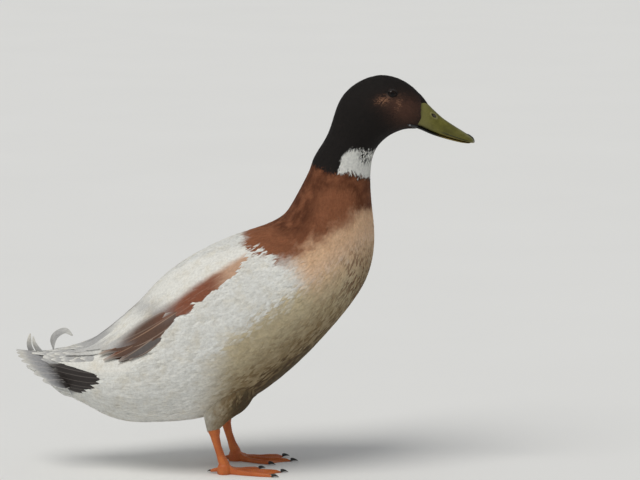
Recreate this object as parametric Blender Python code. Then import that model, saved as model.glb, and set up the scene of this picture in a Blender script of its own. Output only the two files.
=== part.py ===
"""A standing farmyard drake, life size, as a museum model would show it.

Metres, +Z up. The bird faces +X and its left side is +Y. The floor is Z = 0, and the origin is the
middle of the bird's box on that floor. The body is one loft from rump to forehead, parted into head,
neck and trunk by thin cuts. The folded wings are let into its back and the tail into its rump.
"""

import math
from collections import namedtuple

import bmesh
import bpy
from mathutils import Matrix, Vector

GAP = 0.0003  # left between neighbouring pieces

# Body
AROUND = 24  # corners of a body section
RINGS_PER_STATION = 2
WING_DEPTH = 0.007  # how deep a folded wing lies in the outline
WING_REACH = Vector((0.12, 0.30))  # a side and a height that are clear of the whole back
EYE_CENTRE = Vector((0.1530, 0.0160, 0.3948))
EYE_RADIUS = 0.0064

# Legs
LEG_SPREAD = 0.036  # each leg's distance from the middle plane
LEFT_LEG_AHEAD = 0.010  # the left foot stands this much in front of the right one
ANKLE = Vector((-0.0320, 0.0, 0.0500))
TOE_JOINT = Vector((-0.0205, 0.0, 0.0105))
TOE_TURN = math.radians(-4)  # the feet point a little inwards
WEB_THICKNESS = 0.0014
WEB_SHORTFALL = 0.003  # how far the web's edge stays behind the toes' ends
WEB_HOLLOW = 0.10  # how far that edge curves in, as a share of its reach
TOE_END_SPREAD = 0.11  # the angle over which a toe's end falls back to the web
TOE_HEIGHT = 0.0060
TOE_HALF_WIDTH = 0.0042
HEEL_RADIUS = 0.0075

# Tail
TAIL_ROOT_X = -0.180
TAIL_TIP_X = -0.2385
TAIL_ROOT_HALF_WIDTH = 0.024
TAIL_HALF_WIDTH = 0.041
TAIL_ROOT_DROOP = 0.020  # how far the outer feathers hang below the middle ones at the root
TAIL_DROOP = 0.027  # and at their tips
TAIL_SET_BACK = 0.034  # how much sooner the outer feathers end
TAIL_THICKNESS = 0.0024

# The outline from rump to forehead: the lowest and the uppermost point of each section in the middle
# plane (x, z), half its width, and how far below its middle it is widest, as a share of half its height.
Station = namedtuple("Station", "belly back half_width sag")
OUTLINE = (
    Station((-0.204, 0.093), (-0.207, 0.1230), 0.015, 0.00),  # end of the tail coverts
    Station((-0.186, 0.078), (-0.185, 0.1270), 0.028, 0.00),
    Station((-0.164, 0.067), (-0.162, 0.1345), 0.040, 0.05),
    Station((-0.143, 0.056), (-0.145, 0.146), 0.050, 0.10),  # vent
    Station((-0.119, 0.050), (-0.128, 0.160), 0.059, 0.15),
    Station((-0.088, 0.050), (-0.110, 0.176), 0.067, 0.18),
    Station((-0.052, 0.053), (-0.091, 0.197), 0.074, 0.18),
    Station((-0.015, 0.063), (-0.067, 0.217), 0.078, 0.16),  # thighs
    Station((0.022, 0.084), (-0.038, 0.234), 0.079, 0.14),
    Station((0.055, 0.111), (-0.008, 0.247), 0.077, 0.12),
    Station((0.084, 0.141), (0.020, 0.256), 0.073, 0.10),  # shoulders
    Station((0.110, 0.172), (0.040, 0.266), 0.066, 0.08),
    Station((0.127, 0.199), (0.0495, 0.2785), 0.059, 0.05),  # breast
    Station((0.1345, 0.226), (0.0570, 0.2920), 0.050, 0.02),
    Station((0.1355, 0.252), (0.0635, 0.3045), 0.041, 0.00),
    Station((0.1330, 0.276), (0.0685, 0.3150), 0.0345, 0.00),  # foot of the neck
    Station((0.1315, 0.296), (0.0715, 0.3245), 0.0300, 0.00),  # collar
    Station((0.1315, 0.312), (0.0760, 0.3330), 0.0275, 0.00),
    Station((0.1330, 0.325), (0.0815, 0.3415), 0.0255, 0.00),
    Station((0.1368, 0.3355), (0.0870, 0.3515), 0.0245, 0.00),
    Station((0.1430, 0.3435), (0.0915, 0.3640), 0.0245, 0.00),  # throat
    Station((0.1510, 0.3500), (0.0965, 0.380), 0.0248, 0.02),
    Station((0.1590, 0.3540), (0.1040, 0.3935), 0.0248, 0.02),
    Station((0.1655, 0.3562), (0.1190, 0.4060), 0.0244, 0.02),  # cheek and crown
    Station((0.1715, 0.3570), (0.1400, 0.4130), 0.0230, 0.00),
    Station((0.1765, 0.3570), (0.1600, 0.4095), 0.0205, 0.00),
    Station((0.1805, 0.3575), (0.1755, 0.4000), 0.0162, 0.00),
    Station((0.1835, 0.3590), (0.1875, 0.3870), 0.0122, 0.00),  # where the bill starts
)

# The folded wing's lower edge as it runs back from the shoulder (x, z), and how far from the middle
# plane its upper edge is there.
WING_EDGE = (
    (0.026, 0.249, 0.037),
    (0.017, 0.238, 0.034),
    (0.006, 0.223, 0.031),
    (-0.012, 0.209, 0.027),
    (-0.034, 0.190, 0.021),
    (-0.060, 0.164, 0.013),
    (-0.086, 0.134, 0.006),
    (-0.108, 0.118, 0.004),
    (-0.138, 0.111, 0.003),
    (-0.165, 0.112, 0.003),
    (-0.192, 0.116, 0.003),
)

# Bill sections from its root to its tip: the ridge and the cutting edge (x, z), and half the width.
Section = namedtuple("Section", "top bottom half_width")
UPPER_BILL = (
    Section((0.1892, 0.3845), (0.1840, 0.3600), 0.0112),
    Section((0.1975, 0.3758), (0.1920, 0.3555), 0.0108),
    Section((0.2065, 0.3678), (0.2020, 0.3514), 0.0106),
    Section((0.2170, 0.3606), (0.2130, 0.3482), 0.0113),
    Section((0.2265, 0.3546), (0.2240, 0.3456), 0.0124),
    Section((0.2335, 0.3500), (0.2320, 0.3442), 0.0120),
    Section((0.2370, 0.3472), (0.2362, 0.3434), 0.0088),
    Section((0.2386, 0.3452), (0.2384, 0.3434), 0.0040),
)
LOWER_BILL = (
    Section((0.1850, 0.3592), (0.1843, 0.3562), 0.0094),
    Section((0.1950, 0.3540), (0.1942, 0.3515), 0.0096),
    Section((0.2060, 0.3496), (0.2054, 0.3476), 0.0096),
    Section((0.2170, 0.3464), (0.2166, 0.3446), 0.0100),
    Section((0.2260, 0.3442), (0.2258, 0.3426), 0.0109),
    Section((0.2325, 0.3431), (0.2324, 0.3418), 0.0095),
)
NAIL_START = Vector((0.2300, 0.0, 0.335))  # the back of the nail, and a height below the bill's tip
NAIL_END = Vector((0.245, 0.0, 0.365))  # clear of the bill's tip and above it
NAIL_HALF_WIDTH = 0.0042
NOSTRIL = Vector((0.1965, 0.0, 0.3705))
NOSTRIL_SIZE = Vector((0.0032, 0.0, 0.0016))  # half its length and half its height
BILL_SLOPE = math.radians(35)

# Each curled tail feather: its root, the radius of its curl, the angles that the curl starts and ends
# at, counted from straight ahead upwards, and its side of the middle plane.
CURL_HALF_WIDTH = 0.0036
CURL_HALF_THICKNESS = 0.0011
CURL_TWIST = math.radians(58)  # how far the ribbons turn their faces aside, past their roots
CURL_TWIST_LENGTH = 0.35  # the share of its length over which a ribbon takes that twist
Curl = namedtuple("Curl", "root radius start end side")
CURLS = (
    Curl((-0.1955, 0.1245), 0.0108, math.radians(222), math.radians(18), 0.003),
    Curl((-0.2110, 0.1235), 0.0210, math.radians(208), math.radians(150), -0.004),
    Curl((-0.2200, 0.1235), 0.0180, math.radians(204), math.radians(135), 0.006),
)

# Toes from the inner one to the outer one: name, angle outwards from straight ahead, length.
Toe = namedtuple("Toe", "name angle length")
TOES = (
    Toe("inner", math.radians(-29), 0.044),
    Toe("middle", math.radians(-2), 0.060),
    Toe("outer", math.radians(24), 0.054),
)

HIND_TOE = (  # distance from the toe joint, height, radius
    (0.0000, 0.0050, 0.0026),
    (0.0060, 0.0046, 0.0024),
    (0.0110, 0.0036, 0.0021),
    (0.0150, 0.0026, 0.0015),
)

COLOURS = {  # base colour, roughness
    "head": ((0.022, 0.016, 0.013), 0.75),
    "neck": ((0.23, 0.085, 0.045), 0.80),
    "body": ((0.62, 0.52, 0.40), 0.85),
    "wing": ((0.74, 0.69, 0.62), 0.80),
    "tail": ((0.42, 0.38, 0.36), 0.75),
    "bill": ((0.20, 0.19, 0.045), 0.40),
    "nail": ((0.02, 0.018, 0.015), 0.35),
    "eye": ((0.018, 0.008, 0.004), 0.05),
    "leg": ((0.72, 0.20, 0.035), 0.50),
    "claw": ((0.05, 0.04, 0.035), 0.40),
}


def clear_scene():
    for old in list(bpy.data.objects):
        bpy.data.objects.remove(old, do_unlink=True)


def collection(name):
    made = bpy.data.collections.new(name)
    bpy.context.scene.collection.children.link(made)
    return made


def material(name):
    made = bpy.data.materials.get(name)
    if made is None:
        colour, roughness = COLOURS[name]
        made = bpy.data.materials.new(name)
        made.use_nodes = True
        shader = made.node_tree.nodes["Principled BSDF"]
        shader.inputs["Base Color"].default_value = (*colour, 1.0)
        shader.inputs["Roughness"].default_value = roughness
    return made


def add_object(name, bm, finish, group):
    """A named object from a bmesh, which is freed."""
    bmesh.ops.recalc_face_normals(bm, faces=bm.faces)
    mesh = bpy.data.meshes.new(name)
    bm.to_mesh(mesh)
    bm.free()
    mesh.materials.append(material(finish))
    mesh.shade_smooth()
    mesh.set_sharp_from_angle(angle=math.radians(45))
    made = bpy.data.objects.new(name, mesh)
    group.objects.link(made)
    return made


def add_cutter(name, bm, group):
    made = add_object(name, bm, "body", group)
    made.hide_render = True
    made.display_type = "WIRE"
    return made


def add_boolean(target, cutter, operation):
    modifier = target.modifiers.new(f"{operation.lower()} {cutter.name}", "BOOLEAN")
    modifier.operation = operation
    modifier.solver = "EXACT"
    modifier.object = cutter


def between(rows, t):
    """The rows' numbers at place t, on a smooth curve through all rows."""
    last = len(rows) - 1
    i = min(int(t), last - 1)
    f = t - i
    p0, p1, p2, p3 = (rows[min(max(k, 0), last)] for k in (i - 1, i, i + 1, i + 2))
    return tuple(
        0.5 * (2 * b + (c - a) * f + (2 * a - 5 * b + 4 * c - d) * f * f + (3 * b - a - 3 * c + d) * f**3)
        for a, b, c, d in zip(p0, p1, p2, p3)
    )


def section_ring(bottom, top, half_width, sag=0.0, corners=AROUND, roundness=1.0):
    """Points round an oval section whose lowest and highest points lie in the middle plane."""
    low = Vector((bottom[0], 0.0, bottom[1]))
    high = Vector((top[0], 0.0, top[1]))
    centre = (low + high) / 2
    up = (high - low) / 2
    ring = []
    for k in range(corners):
        angle = 2 * math.pi * k / corners
        side = math.sin(angle)
        side = math.copysign(abs(side) ** roundness, side)
        height = math.cos(angle) - sag * math.sin(angle) ** 2
        ring.append(centre + up * height + Vector((0.0, half_width * side, 0.0)))
    return ring


def loft(rings):
    """A closed bmesh through rings of equally many points, with a flat cap on each end."""
    bm = bmesh.new()
    loops = [[bm.verts.new(point) for point in ring] for ring in rings]
    for first, second in zip(loops, loops[1:]):
        for k in range(len(first)):
            j = (k + 1) % len(first)
            bm.faces.new((first[k], first[j], second[j], second[k]))
    bm.faces.new(reversed(loops[0]))
    bm.faces.new(loops[-1])
    return bm


def body_loft(inset=0.0):
    """The whole bird from rump to forehead, or the same form smaller by inset."""
    rows = [(*s.belly, *s.back, s.half_width, s.sag) for s in OUTLINE]
    rings = []
    count = (len(rows) - 1) * RINGS_PER_STATION
    for k in range(count + 1):
        x0, z0, x1, z1, half_width, sag = between(rows, k / RINGS_PER_STATION)
        low, high = Vector((x0, z0)), Vector((x1, z1))
        shift = (high - low).normalized() * inset
        rings.append(section_ring(low + shift, high - shift, half_width - inset, sag))
    return loft(rings)


def keep_side(bm, point, normal):
    """Cuts a closed bmesh by a plane and keeps what lies on the side that normal points to."""
    cut = bmesh.ops.bisect_plane(
        bm,
        geom=bm.verts[:] + bm.edges[:] + bm.faces[:],
        plane_co=point,
        plane_no=normal,
        clear_inner=True,
    )
    edges = [e for e in cut["geom_cut"] if isinstance(e, bmesh.types.BMEdge)]
    bmesh.ops.edgeloop_fill(bm, edges=edges)


def cut_between(station):
    """A point and a normal, towards the head, of the plane through the body at a station."""
    here = OUTLINE[station]
    low = Vector((here.belly[0], 0.0, here.belly[1]))
    high = Vector((here.back[0], 0.0, here.back[1]))
    normal = Vector((0.0, 1.0, 0.0)).cross(high - low).normalized()
    return (low + high) / 2, normal


NECK_STATION = 13
HEAD_STATION = 19


def make_flesh(parts, cutters):
    """Head, neck and trunk, parted by two thin cuts."""
    neck_point, neck_normal = cut_between(NECK_STATION)
    head_point, head_normal = cut_between(HEAD_STATION)
    half = GAP / 2

    bm = body_loft()
    keep_side(bm, head_point + head_normal * half, head_normal)
    head = add_object("head", bm, "head", parts)
    for side, name in ((1, "left"), (-1, "right")):
        bm = ball(eye_place(side), EYE_RADIUS + GAP)
        add_boolean(head, add_cutter(f"eye_socket_{name}", bm, cutters), "DIFFERENCE")

    bm = body_loft()
    keep_side(bm, head_point - head_normal * half, -head_normal)
    keep_side(bm, neck_point + neck_normal * half, neck_normal)
    add_object("neck", bm, "neck", parts)

    bm = body_loft()
    keep_side(bm, neck_point - neck_normal * half, -neck_normal)
    return add_object("trunk", bm, "body", parts)


def wing_block(side, gap=0.0):
    """A block over the region of the back that a folded wing takes."""
    rings = []
    last = len(WING_EDGE) - 1
    for k, (x, low, inner) in enumerate(WING_EDGE):
        end = gap if k == 0 else -gap if k == last else 0.0
        near, far = side * (inner - gap), side * WING_REACH.x
        corners = ((near, low - gap), (far, low - gap), (far, WING_REACH.y), (near, WING_REACH.y))
        rings.append([Vector((x + end, y, z)) for y, z in corners])
    return loft(rings)


def make_wings(trunk, tail_slot, parts, cutters):
    """The folded wings: the outer layer of the body within each wing's outline."""
    core = add_cutter("wing_bed", body_loft(WING_DEPTH), cutters)
    slot_core = add_cutter("wing_slot_bed", body_loft(WING_DEPTH + GAP), cutters)
    for side, name in ((1, "left"), (-1, "right")):
        block = add_cutter(f"wing_block_{name}", wing_block(side), cutters)
        slot = add_cutter(f"wing_slot_{name}", wing_block(side, GAP), cutters)
        add_boolean(slot, slot_core, "DIFFERENCE")
        wing = add_object(f"wing_{name}", body_loft(), "wing", parts)
        add_boolean(wing, block, "INTERSECT")
        add_boolean(wing, core, "DIFFERENCE")
        add_boolean(wing, tail_slot, "DIFFERENCE")
        add_boolean(trunk, slot, "DIFFERENCE")


def fatten(bm, by):
    """Moves a closed bmesh's surface outwards by an even distance."""
    bmesh.ops.recalc_face_normals(bm, faces=bm.faces)
    bm.normal_update()
    moves = [v.normal * (by * v.calc_shell_factor()) for v in bm.verts]
    for vertex, move in zip(bm.verts, moves):
        vertex.co += move


def tail_bmesh():
    """The tail fan: feathers laid flat, the outer ones shorter and lower, the tips turned up."""
    across, along = 12, 6
    rings = []
    for i in range(along + 1):
        r = i / along
        half_width = TAIL_ROOT_HALF_WIDTH + (TAIL_HALF_WIDTH - TAIL_ROOT_HALF_WIDTH) * r
        upper, lower = [], []
        for j in range(across + 1):
            a = 2 * j / across - 1
            tip_x = TAIL_TIP_X + TAIL_SET_BACK * a * a
            x = TAIL_ROOT_X + (tip_x - TAIL_ROOT_X) * r
            middle = 0.1140 + 0.0100 * r**0.6
            z = middle - (TAIL_ROOT_DROOP + (TAIL_DROOP - TAIL_ROOT_DROOP) * r) * abs(a) ** 1.5
            thick = TAIL_THICKNESS * (1 - 0.45 * r) / 2
            upper.append(Vector((x, half_width * a, z + thick)))
            lower.append(Vector((x, half_width * a, z - thick)))
        rings.append(upper + lower[::-1])
    bm = loft(rings)
    bmesh.ops.triangulate(bm, faces=bm.faces)
    return bm


def make_tail(trunk, parts, cutters):
    add_object("tail", tail_bmesh(), "tail", parts)
    bm = tail_bmesh()
    fatten(bm, GAP)
    slot = add_cutter("tail_slot", bm, cutters)
    add_boolean(trunk, slot, "DIFFERENCE")
    return slot


def make_curls(skin, tail_slot, parts):
    """The drake's curled feathers over the tail, as thin ribbons that narrow to a point."""
    steps = 12
    for n, curl in enumerate(CURLS, 1):
        root = Vector((curl.root[0], curl.side, curl.root[1]))
        start = Vector((math.cos(curl.start), 0.0, math.sin(curl.start)))
        centre = root - start * curl.radius
        rings = []
        for i in range(steps + 1):
            f = i / steps
            angle = curl.start + (curl.end - curl.start) * f
            out = Vector((math.cos(angle), 0.0, math.sin(angle)))
            half_width = CURL_HALF_WIDTH * (1.1 - f**2.5)
            half_thick = CURL_HALF_THICKNESS * (1 - 0.6 * f)
            middle = centre + out * curl.radius
            twist = CURL_TWIST * min(1.0, f / CURL_TWIST_LENGTH)
            left = Vector((0.0, 1.0, 0.0))
            face = out * math.cos(twist) - left * math.sin(twist)
            width = out * math.sin(twist) + left * math.cos(twist)
            rings.append([
                middle + face * (half_thick * math.cos(turn)) + width * (half_width * math.sin(turn))
                for turn in (2 * math.pi * k / 8 for k in range(8))
            ])
        made = add_object(f"tail_curl_{n}", loft(rings), "tail", parts)
        add_boolean(made, skin, "DIFFERENCE")
        add_boolean(made, tail_slot, "DIFFERENCE")


def ball(centre, radius, u=12, v=8):
    bm = bmesh.new()
    bmesh.ops.create_uvsphere(bm, u_segments=u, v_segments=v, radius=radius)
    bmesh.ops.translate(bm, vec=centre, verts=bm.verts)
    return bm


def eye_place(side):
    return Vector((EYE_CENTRE.x, side * EYE_CENTRE.y, EYE_CENTRE.z))


def make_eyes(parts):
    for side, name in ((1, "left"), (-1, "right")):
        add_object(f"eye_{name}", ball(eye_place(side), EYE_RADIUS), "eye", parts)


def bill_loft(sections, roundness):
    rows = [(*s.top, *s.bottom, s.half_width) for s in sections]
    rings = []
    for k in range(2 * len(rows) - 1):
        x1, z1, x0, z0, half_width = between(rows, k / 2)
        rings.append(section_ring((x0, z0), (x1, z1), half_width, 0.35, 16, roundness))
    return loft(rings)


def box(low, high):
    bm = bmesh.new()
    bmesh.ops.create_cube(bm, size=1.0)
    bmesh.ops.scale(bm, vec=high - low, verts=bm.verts)
    bmesh.ops.translate(bm, vec=(low + high) / 2, verts=bm.verts)
    return bm


def make_bill(parts, cutters):
    upper = add_object("bill_upper", bill_loft(UPPER_BILL, 0.75), "bill", parts)
    nail = add_object("bill_nail", bill_loft(UPPER_BILL, 0.75), "nail", parts)
    aside = Vector((0.0, NAIL_HALF_WIDTH, 0.0))
    low, high = NAIL_START - aside, NAIL_END + aside
    add_boolean(nail, add_cutter("nail_block", box(low, high), cutters), "INTERSECT")
    gap = Vector((GAP, GAP, GAP))
    add_boolean(upper, add_cutter("nail_slot", box(low - gap, high + gap), cutters), "DIFFERENCE")

    bm = bmesh.new()
    bmesh.ops.create_cone(bm, cap_ends=True, segments=12, radius1=1.0, radius2=1.0, depth=0.05)
    bmesh.ops.rotate(bm, verts=bm.verts, cent=(0, 0, 0), matrix=rotation("X", math.radians(90)))
    bmesh.ops.scale(bm, vec=(NOSTRIL_SIZE.x, 1.0, NOSTRIL_SIZE.z), verts=bm.verts)
    bmesh.ops.rotate(bm, verts=bm.verts, cent=(0, 0, 0), matrix=rotation("Y", BILL_SLOPE))
    bmesh.ops.translate(bm, vec=NOSTRIL, verts=bm.verts)
    add_boolean(upper, add_cutter("nostril", bm, cutters), "DIFFERENCE")

    add_object("bill_lower", bill_loft(LOWER_BILL, 0.75), "bill", parts)


def rotation(axis, angle):
    return Matrix.Rotation(angle, 3, axis)


def limb(stations, corners=14):
    """A leg piece: a loft through level ovals (x, y, z, half length fore and aft, half width)."""
    rings = []
    for x, y, z, half_length, half_width in stations:
        rings.append([
            Vector((x + half_length * math.cos(a), y + half_width * math.sin(a), z))
            for a in (2 * math.pi * k / corners for k in range(corners))
        ])
    return loft(rings)


def make_thigh(name, shift, parts, skin_cutter):
    """The feathered upper leg, from inside the belly down to the ankle."""
    x, y, z = ANKLE + shift
    out = math.copysign(1.0, shift.y)
    stations = (
        (x + 0.020, y + 0.004 * out, 0.098, 0.026, 0.020),
        (x + 0.016, y + 0.004 * out, 0.082, 0.026, 0.020),
        (x + 0.011, y + 0.003 * out, 0.069, 0.022, 0.017),
        (x + 0.005, y + 0.001 * out, 0.059, 0.014, 0.012),
        (x + 0.001, y, z + GAP, 0.0078, 0.0072),
    )
    thigh = add_object(f"thigh_{name}", limb(stations), "body", parts)
    add_boolean(thigh, skin_cutter, "DIFFERENCE")


def make_shank(name, shift, parts):
    """The bare lower leg, with a knob at the ankle and a thicker end over the toes."""
    top, bottom = ANKLE + shift, TOE_JOINT + shift
    profile = (  # share of the way down, half length, half width
        (0.00, 0.0064, 0.0056),
        (0.10, 0.0068, 0.0058),
        (0.25, 0.0050, 0.0042),
        (0.50, 0.0042, 0.0034),
        (0.75, 0.0044, 0.0036),
        (0.92, 0.0056, 0.0050),
        (1.00, 0.0058, 0.0054),
    )
    stations = []
    for share, half_length, half_width in profile:
        here = top.lerp(bottom, share)
        here.x -= 0.0015 * math.sin(math.pi * share)
        stations.append((*here, half_length, half_width))
    add_object(f"shank_{name}", limb(stations), "leg", parts)


def web_reach(angle):
    """How far the foot's edge is from the toe joint in a direction."""
    if not TOES[0].angle - 0.12 < angle < TOES[-1].angle + 0.12:
        return HEEL_RADIUS
    reach = 0.0
    for toe in TOES:
        off = abs(angle - toe.angle)
        reach = max(reach, toe.length * math.exp(-((off / TOE_END_SPREAD) ** 2)))
    for first, second in zip(TOES, TOES[1:]):
        if first.angle <= angle <= second.angle:
            f = (angle - first.angle) / (second.angle - first.angle)
            edge = first.length + (second.length - first.length) * f
            web = (edge - WEB_SHORTFALL) * (1 - WEB_HOLLOW * math.sin(math.pi * f))
            reach = max(reach, web)
    return max(reach, HEEL_RADIUS)


def foot_height(r, angle):
    """The height of the foot's upper surface: a knob under the shank, toes, and the web between them."""
    height = WEB_THICKNESS
    for toe in TOES:
        aside = r * math.sin(angle - toe.angle)
        ahead = r * math.cos(angle - toe.angle)
        width = TOE_HALF_WIDTH * (1 - 0.35 * min(max(ahead, 0.0) / toe.length, 1.0))
        if ahead > 0 and abs(aside) < width:
            joints = 1 + 0.08 * math.cos(3 * 2 * math.pi * ahead / toe.length)
            top = TOE_HEIGHT * (1 - 0.42 * ahead / toe.length) * joints
            height = max(height, top * math.sqrt(1 - (aside / width) ** 2))
    knob = (TOE_JOINT.z - GAP) * min(1.0, max(0.0, 1.6 - r / 0.0095))
    return max(height, knob)


def foot_angles():
    """Directions round the foot: close together over the toes and the web, wider behind."""
    first, last = TOES[0].angle - 0.16, TOES[-1].angle + 0.16
    front = {first + (last - first) * k / 24 for k in range(25)}
    for toe in TOES:
        near = {a for a in front if abs(a - toe.angle) < 0.03}
        front -= near
        front.add(toe.angle)
    behind = [last + (2 * math.pi - last + first) * k / 9 for k in range(1, 9)]
    return sorted(front) + behind


def foot_bmesh(side):
    """A webbed foot with a flat sole, round the toe joint at the origin."""
    shares = (0.10, 0.20, 0.34, 0.52, 0.72, 0.90, 1.0)
    bm = bmesh.new()
    angles = foot_angles()
    top_rings, sole_ring = [], []
    for share in shares:
        ring = []
        for angle in angles:
            reach = web_reach(angle) if angle <= TOES[-1].angle + 0.17 else HEEL_RADIUS
            r = reach * share
            height = foot_height(r, angle)
            if share == 1.0:
                height *= 0.35 if height > 2 * WEB_THICKNESS else 0.6
            ring.append(bm.verts.new((r * math.cos(angle), side * r * math.sin(angle), height)))
            if share == 1.0:
                sole_ring.append(bm.verts.new((r * math.cos(angle), side * r * math.sin(angle), 0.0)))
        top_rings.append(ring)
    middle_top = bm.verts.new((0.0, 0.0, TOE_JOINT.z - GAP))
    count = len(angles)
    for k in range(count):
        j = (k + 1) % count
        bm.faces.new((middle_top, top_rings[0][k], top_rings[0][j]))
        for inner, outer in zip(top_rings, top_rings[1:]):
            bm.faces.new((inner[k], outer[k], outer[j], inner[j]))
        bm.faces.new((top_rings[-1][k], sole_ring[k], sole_ring[j], top_rings[-1][j]))
    bm.faces.new(sole_ring)
    return bm


def horn(root, direction, length, radius, hook):
    """A claw: a short cone that bends down towards its tip."""
    ahead = direction.normalized()
    aside = Vector((-ahead.y, ahead.x, 0.0)).normalized()
    rings = []
    for i in range(5):
        f = i / 4
        middle = root + ahead * (length * f) - Vector((0.0, 0.0, hook * f * f))
        size = radius * (1 - 0.82 * f)
        rings.append([
            middle + aside * (size * math.cos(a)) + Vector((0.0, 0.0, size * math.sin(a)))
            for a in (2 * math.pi * k / 6 for k in range(6))
        ])
    return loft(rings)


def make_foot(name, side, shift, parts, cutters):
    joint = Vector((TOE_JOINT.x, 0.0, 0.0)) + Vector((shift.x, shift.y, 0.0))
    turn = rotation("Z", side * TOE_TURN)
    bm = foot_bmesh(side)
    bmesh.ops.rotate(bm, verts=bm.verts, cent=(0, 0, 0), matrix=turn)
    bmesh.ops.translate(bm, vec=joint, verts=bm.verts)
    foot = add_object(f"foot_{name}", bm, "leg", parts)

    # The small hind toe, raised a little, points back and inwards.
    back = Vector((-0.90, -0.25 * side, 0.0)).normalized()
    bm = loft_along(joint, back, HIND_TOE)
    add_boolean(foot, add_cutter(f"hind_toe_{name}", bm, cutters), "UNION")
    length, height, _ = HIND_TOE[-1]
    tip = joint + back * (length + GAP) + Vector((0.0, 0.0, height))
    add_object(f"claw_{name}_hind", horn(tip, back, 0.0036, 0.0012, 0.0009), "claw", parts)

    for toe in TOES:
        angle = side * (toe.angle + TOE_TURN)
        ahead = Vector((math.cos(angle), math.sin(angle), 0.0))
        root = joint + ahead * (toe.length + GAP) + Vector((0.0, 0.0, 0.0021))
        bm = horn(root, ahead, 0.0068, 0.0018, 0.0014)
        add_object(f"claw_{name}_{toe.name}", bm, "claw", parts)


def loft_along(root, direction, stations, corners=10):
    """A loft along a level direction through upright rounds (distance, height, radius)."""
    aside = Vector((-direction.y, direction.x, 0.0))
    rings = []
    for distance, height, radius in stations:
        middle = root + direction * distance + Vector((0.0, 0.0, height))
        rings.append([
            middle + aside * (radius * math.cos(a)) + Vector((0.0, 0.0, radius * math.sin(a)))
            for a in (2 * math.pi * k / corners for k in range(corners))
        ])
    return loft(rings)


def make_legs(skin, parts, cutters):
    for side, name, ahead in ((1, "left", LEFT_LEG_AHEAD), (-1, "right", 0.0)):
        shift = Vector((ahead, side * LEG_SPREAD, 0.0))
        make_thigh(name, shift, parts, skin)
        make_shank(name, shift, parts)
        make_foot(name, side, shift, parts, cutters)


def main():
    clear_scene()
    parts, cutters = collection("duck"), collection("cutters")
    trunk = make_flesh(parts, cutters)
    tail_slot = make_tail(trunk, parts, cutters)
    make_wings(trunk, tail_slot, parts, cutters)
    skin = add_cutter("skin", body_loft(-GAP), cutters)
    make_curls(skin, tail_slot, parts)
    make_eyes(parts)
    make_bill(parts, cutters)
    make_legs(skin, parts, cutters)


main()
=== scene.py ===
"""The looks of a standing farmyard drake, life size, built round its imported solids.

Metres, +Z up. The bird faces +X and its left side is +Y. One skin stands in for head, neck, trunk, wings
and thighs. The plumage lies over it as separate vanes in joined meshes, and bill, eyes, legs, claws, wing
and tail feathers are pieces of their own.
"""

import math
from collections import namedtuple

import bmesh
import bpy
import numpy as np
from mathutils import Matrix, Vector
from mathutils.bvhtree import BVHTree


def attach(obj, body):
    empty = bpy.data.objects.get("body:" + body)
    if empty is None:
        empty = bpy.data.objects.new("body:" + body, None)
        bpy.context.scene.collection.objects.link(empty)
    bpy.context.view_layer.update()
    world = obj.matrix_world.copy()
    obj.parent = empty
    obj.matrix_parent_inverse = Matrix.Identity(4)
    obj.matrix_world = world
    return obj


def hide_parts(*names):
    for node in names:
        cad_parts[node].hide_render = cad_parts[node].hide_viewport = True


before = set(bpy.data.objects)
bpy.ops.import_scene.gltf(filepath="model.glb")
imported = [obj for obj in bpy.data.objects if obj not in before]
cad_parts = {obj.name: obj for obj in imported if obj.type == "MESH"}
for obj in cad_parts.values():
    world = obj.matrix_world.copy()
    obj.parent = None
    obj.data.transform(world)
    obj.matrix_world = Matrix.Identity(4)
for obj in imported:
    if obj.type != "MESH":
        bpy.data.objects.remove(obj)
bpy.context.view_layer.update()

rng = np.random.default_rng(11)
X, Y, Z = np.eye(3)
SIDES = {1: "left", -1: "right"}

# ---------------------------------------------------------------- the form of the body

# The body's sections from rump to forehead: the middle of each (x, z), how far its upright leans
# forward in degrees, and a radius that is clear of it all round. Places along the body are given in
# rows of this table, and places round it in turns from the back over the left side.
Row = namedtuple("Row", "x z lean reach")
SPINE = (
    Row(-0.2043, 0.1082, -4, 0.036),  # 0: end of the tail coverts
    Row(-0.1520, 0.1015, -3, 0.075),
    Row(-0.1000, 0.1130, -10, 0.090),  # 2: vent
    Row(-0.0500, 0.1350, -17, 0.100),
    Row(-0.0030, 0.1610, -22, 0.105),  # 4: thighs
    Row(0.0380, 0.1900, -28, 0.100),  # 5: shoulders
    Row(0.0720, 0.2180, -36, 0.085),
    Row(0.0930, 0.2510, -47, 0.075),  # 7: breast
    Row(0.1010, 0.2870, -58, 0.060),
    Row(0.1050, 0.3200, -68, 0.046),  # 9: collar
    Row(0.1140, 0.3450, -70, 0.042),
    Row(0.1275, 0.3670, -57, 0.046),  # 11: throat and nape
    Row(0.1480, 0.3800, -35, 0.048),  # 12: crown
    Row(0.1700, 0.3800, -12, 0.040),
    Row(0.1854, 0.3724, 11, 0.026),  # 14: where the bill starts
)
HEAD_END = len(SPINE) - 1
# How deep the contour feathers' roots lie under the surface, along the body.
COAT_DEPTH = ((0, 0.0012), (4, 0.0013), (6, 0.0012), (8, 0.0011), (9.5, 0.0010), (11, 0.0008),
              (14, 0.0005))

EYE = Vector((0.1530, 0.0160, 0.3948))
EYE_SOCKET = 0.0080  # radius
LEG_SPREAD = 0.036  # of each leg from the middle plane
LEFT_LEG_AHEAD = 0.010
ANKLE = Vector((-0.0320, 0.0, 0.0500))
TOE_JOINT = Vector((-0.0205, 0.0, 0.0105))


def leg_place(side, x, z):
    """A point of the right leg's middle plane, or the point that answers to it on the left leg."""
    return np.array((x + (LEFT_LEG_AHEAD if side > 0 else 0.0), side * LEG_SPREAD, z))


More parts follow.
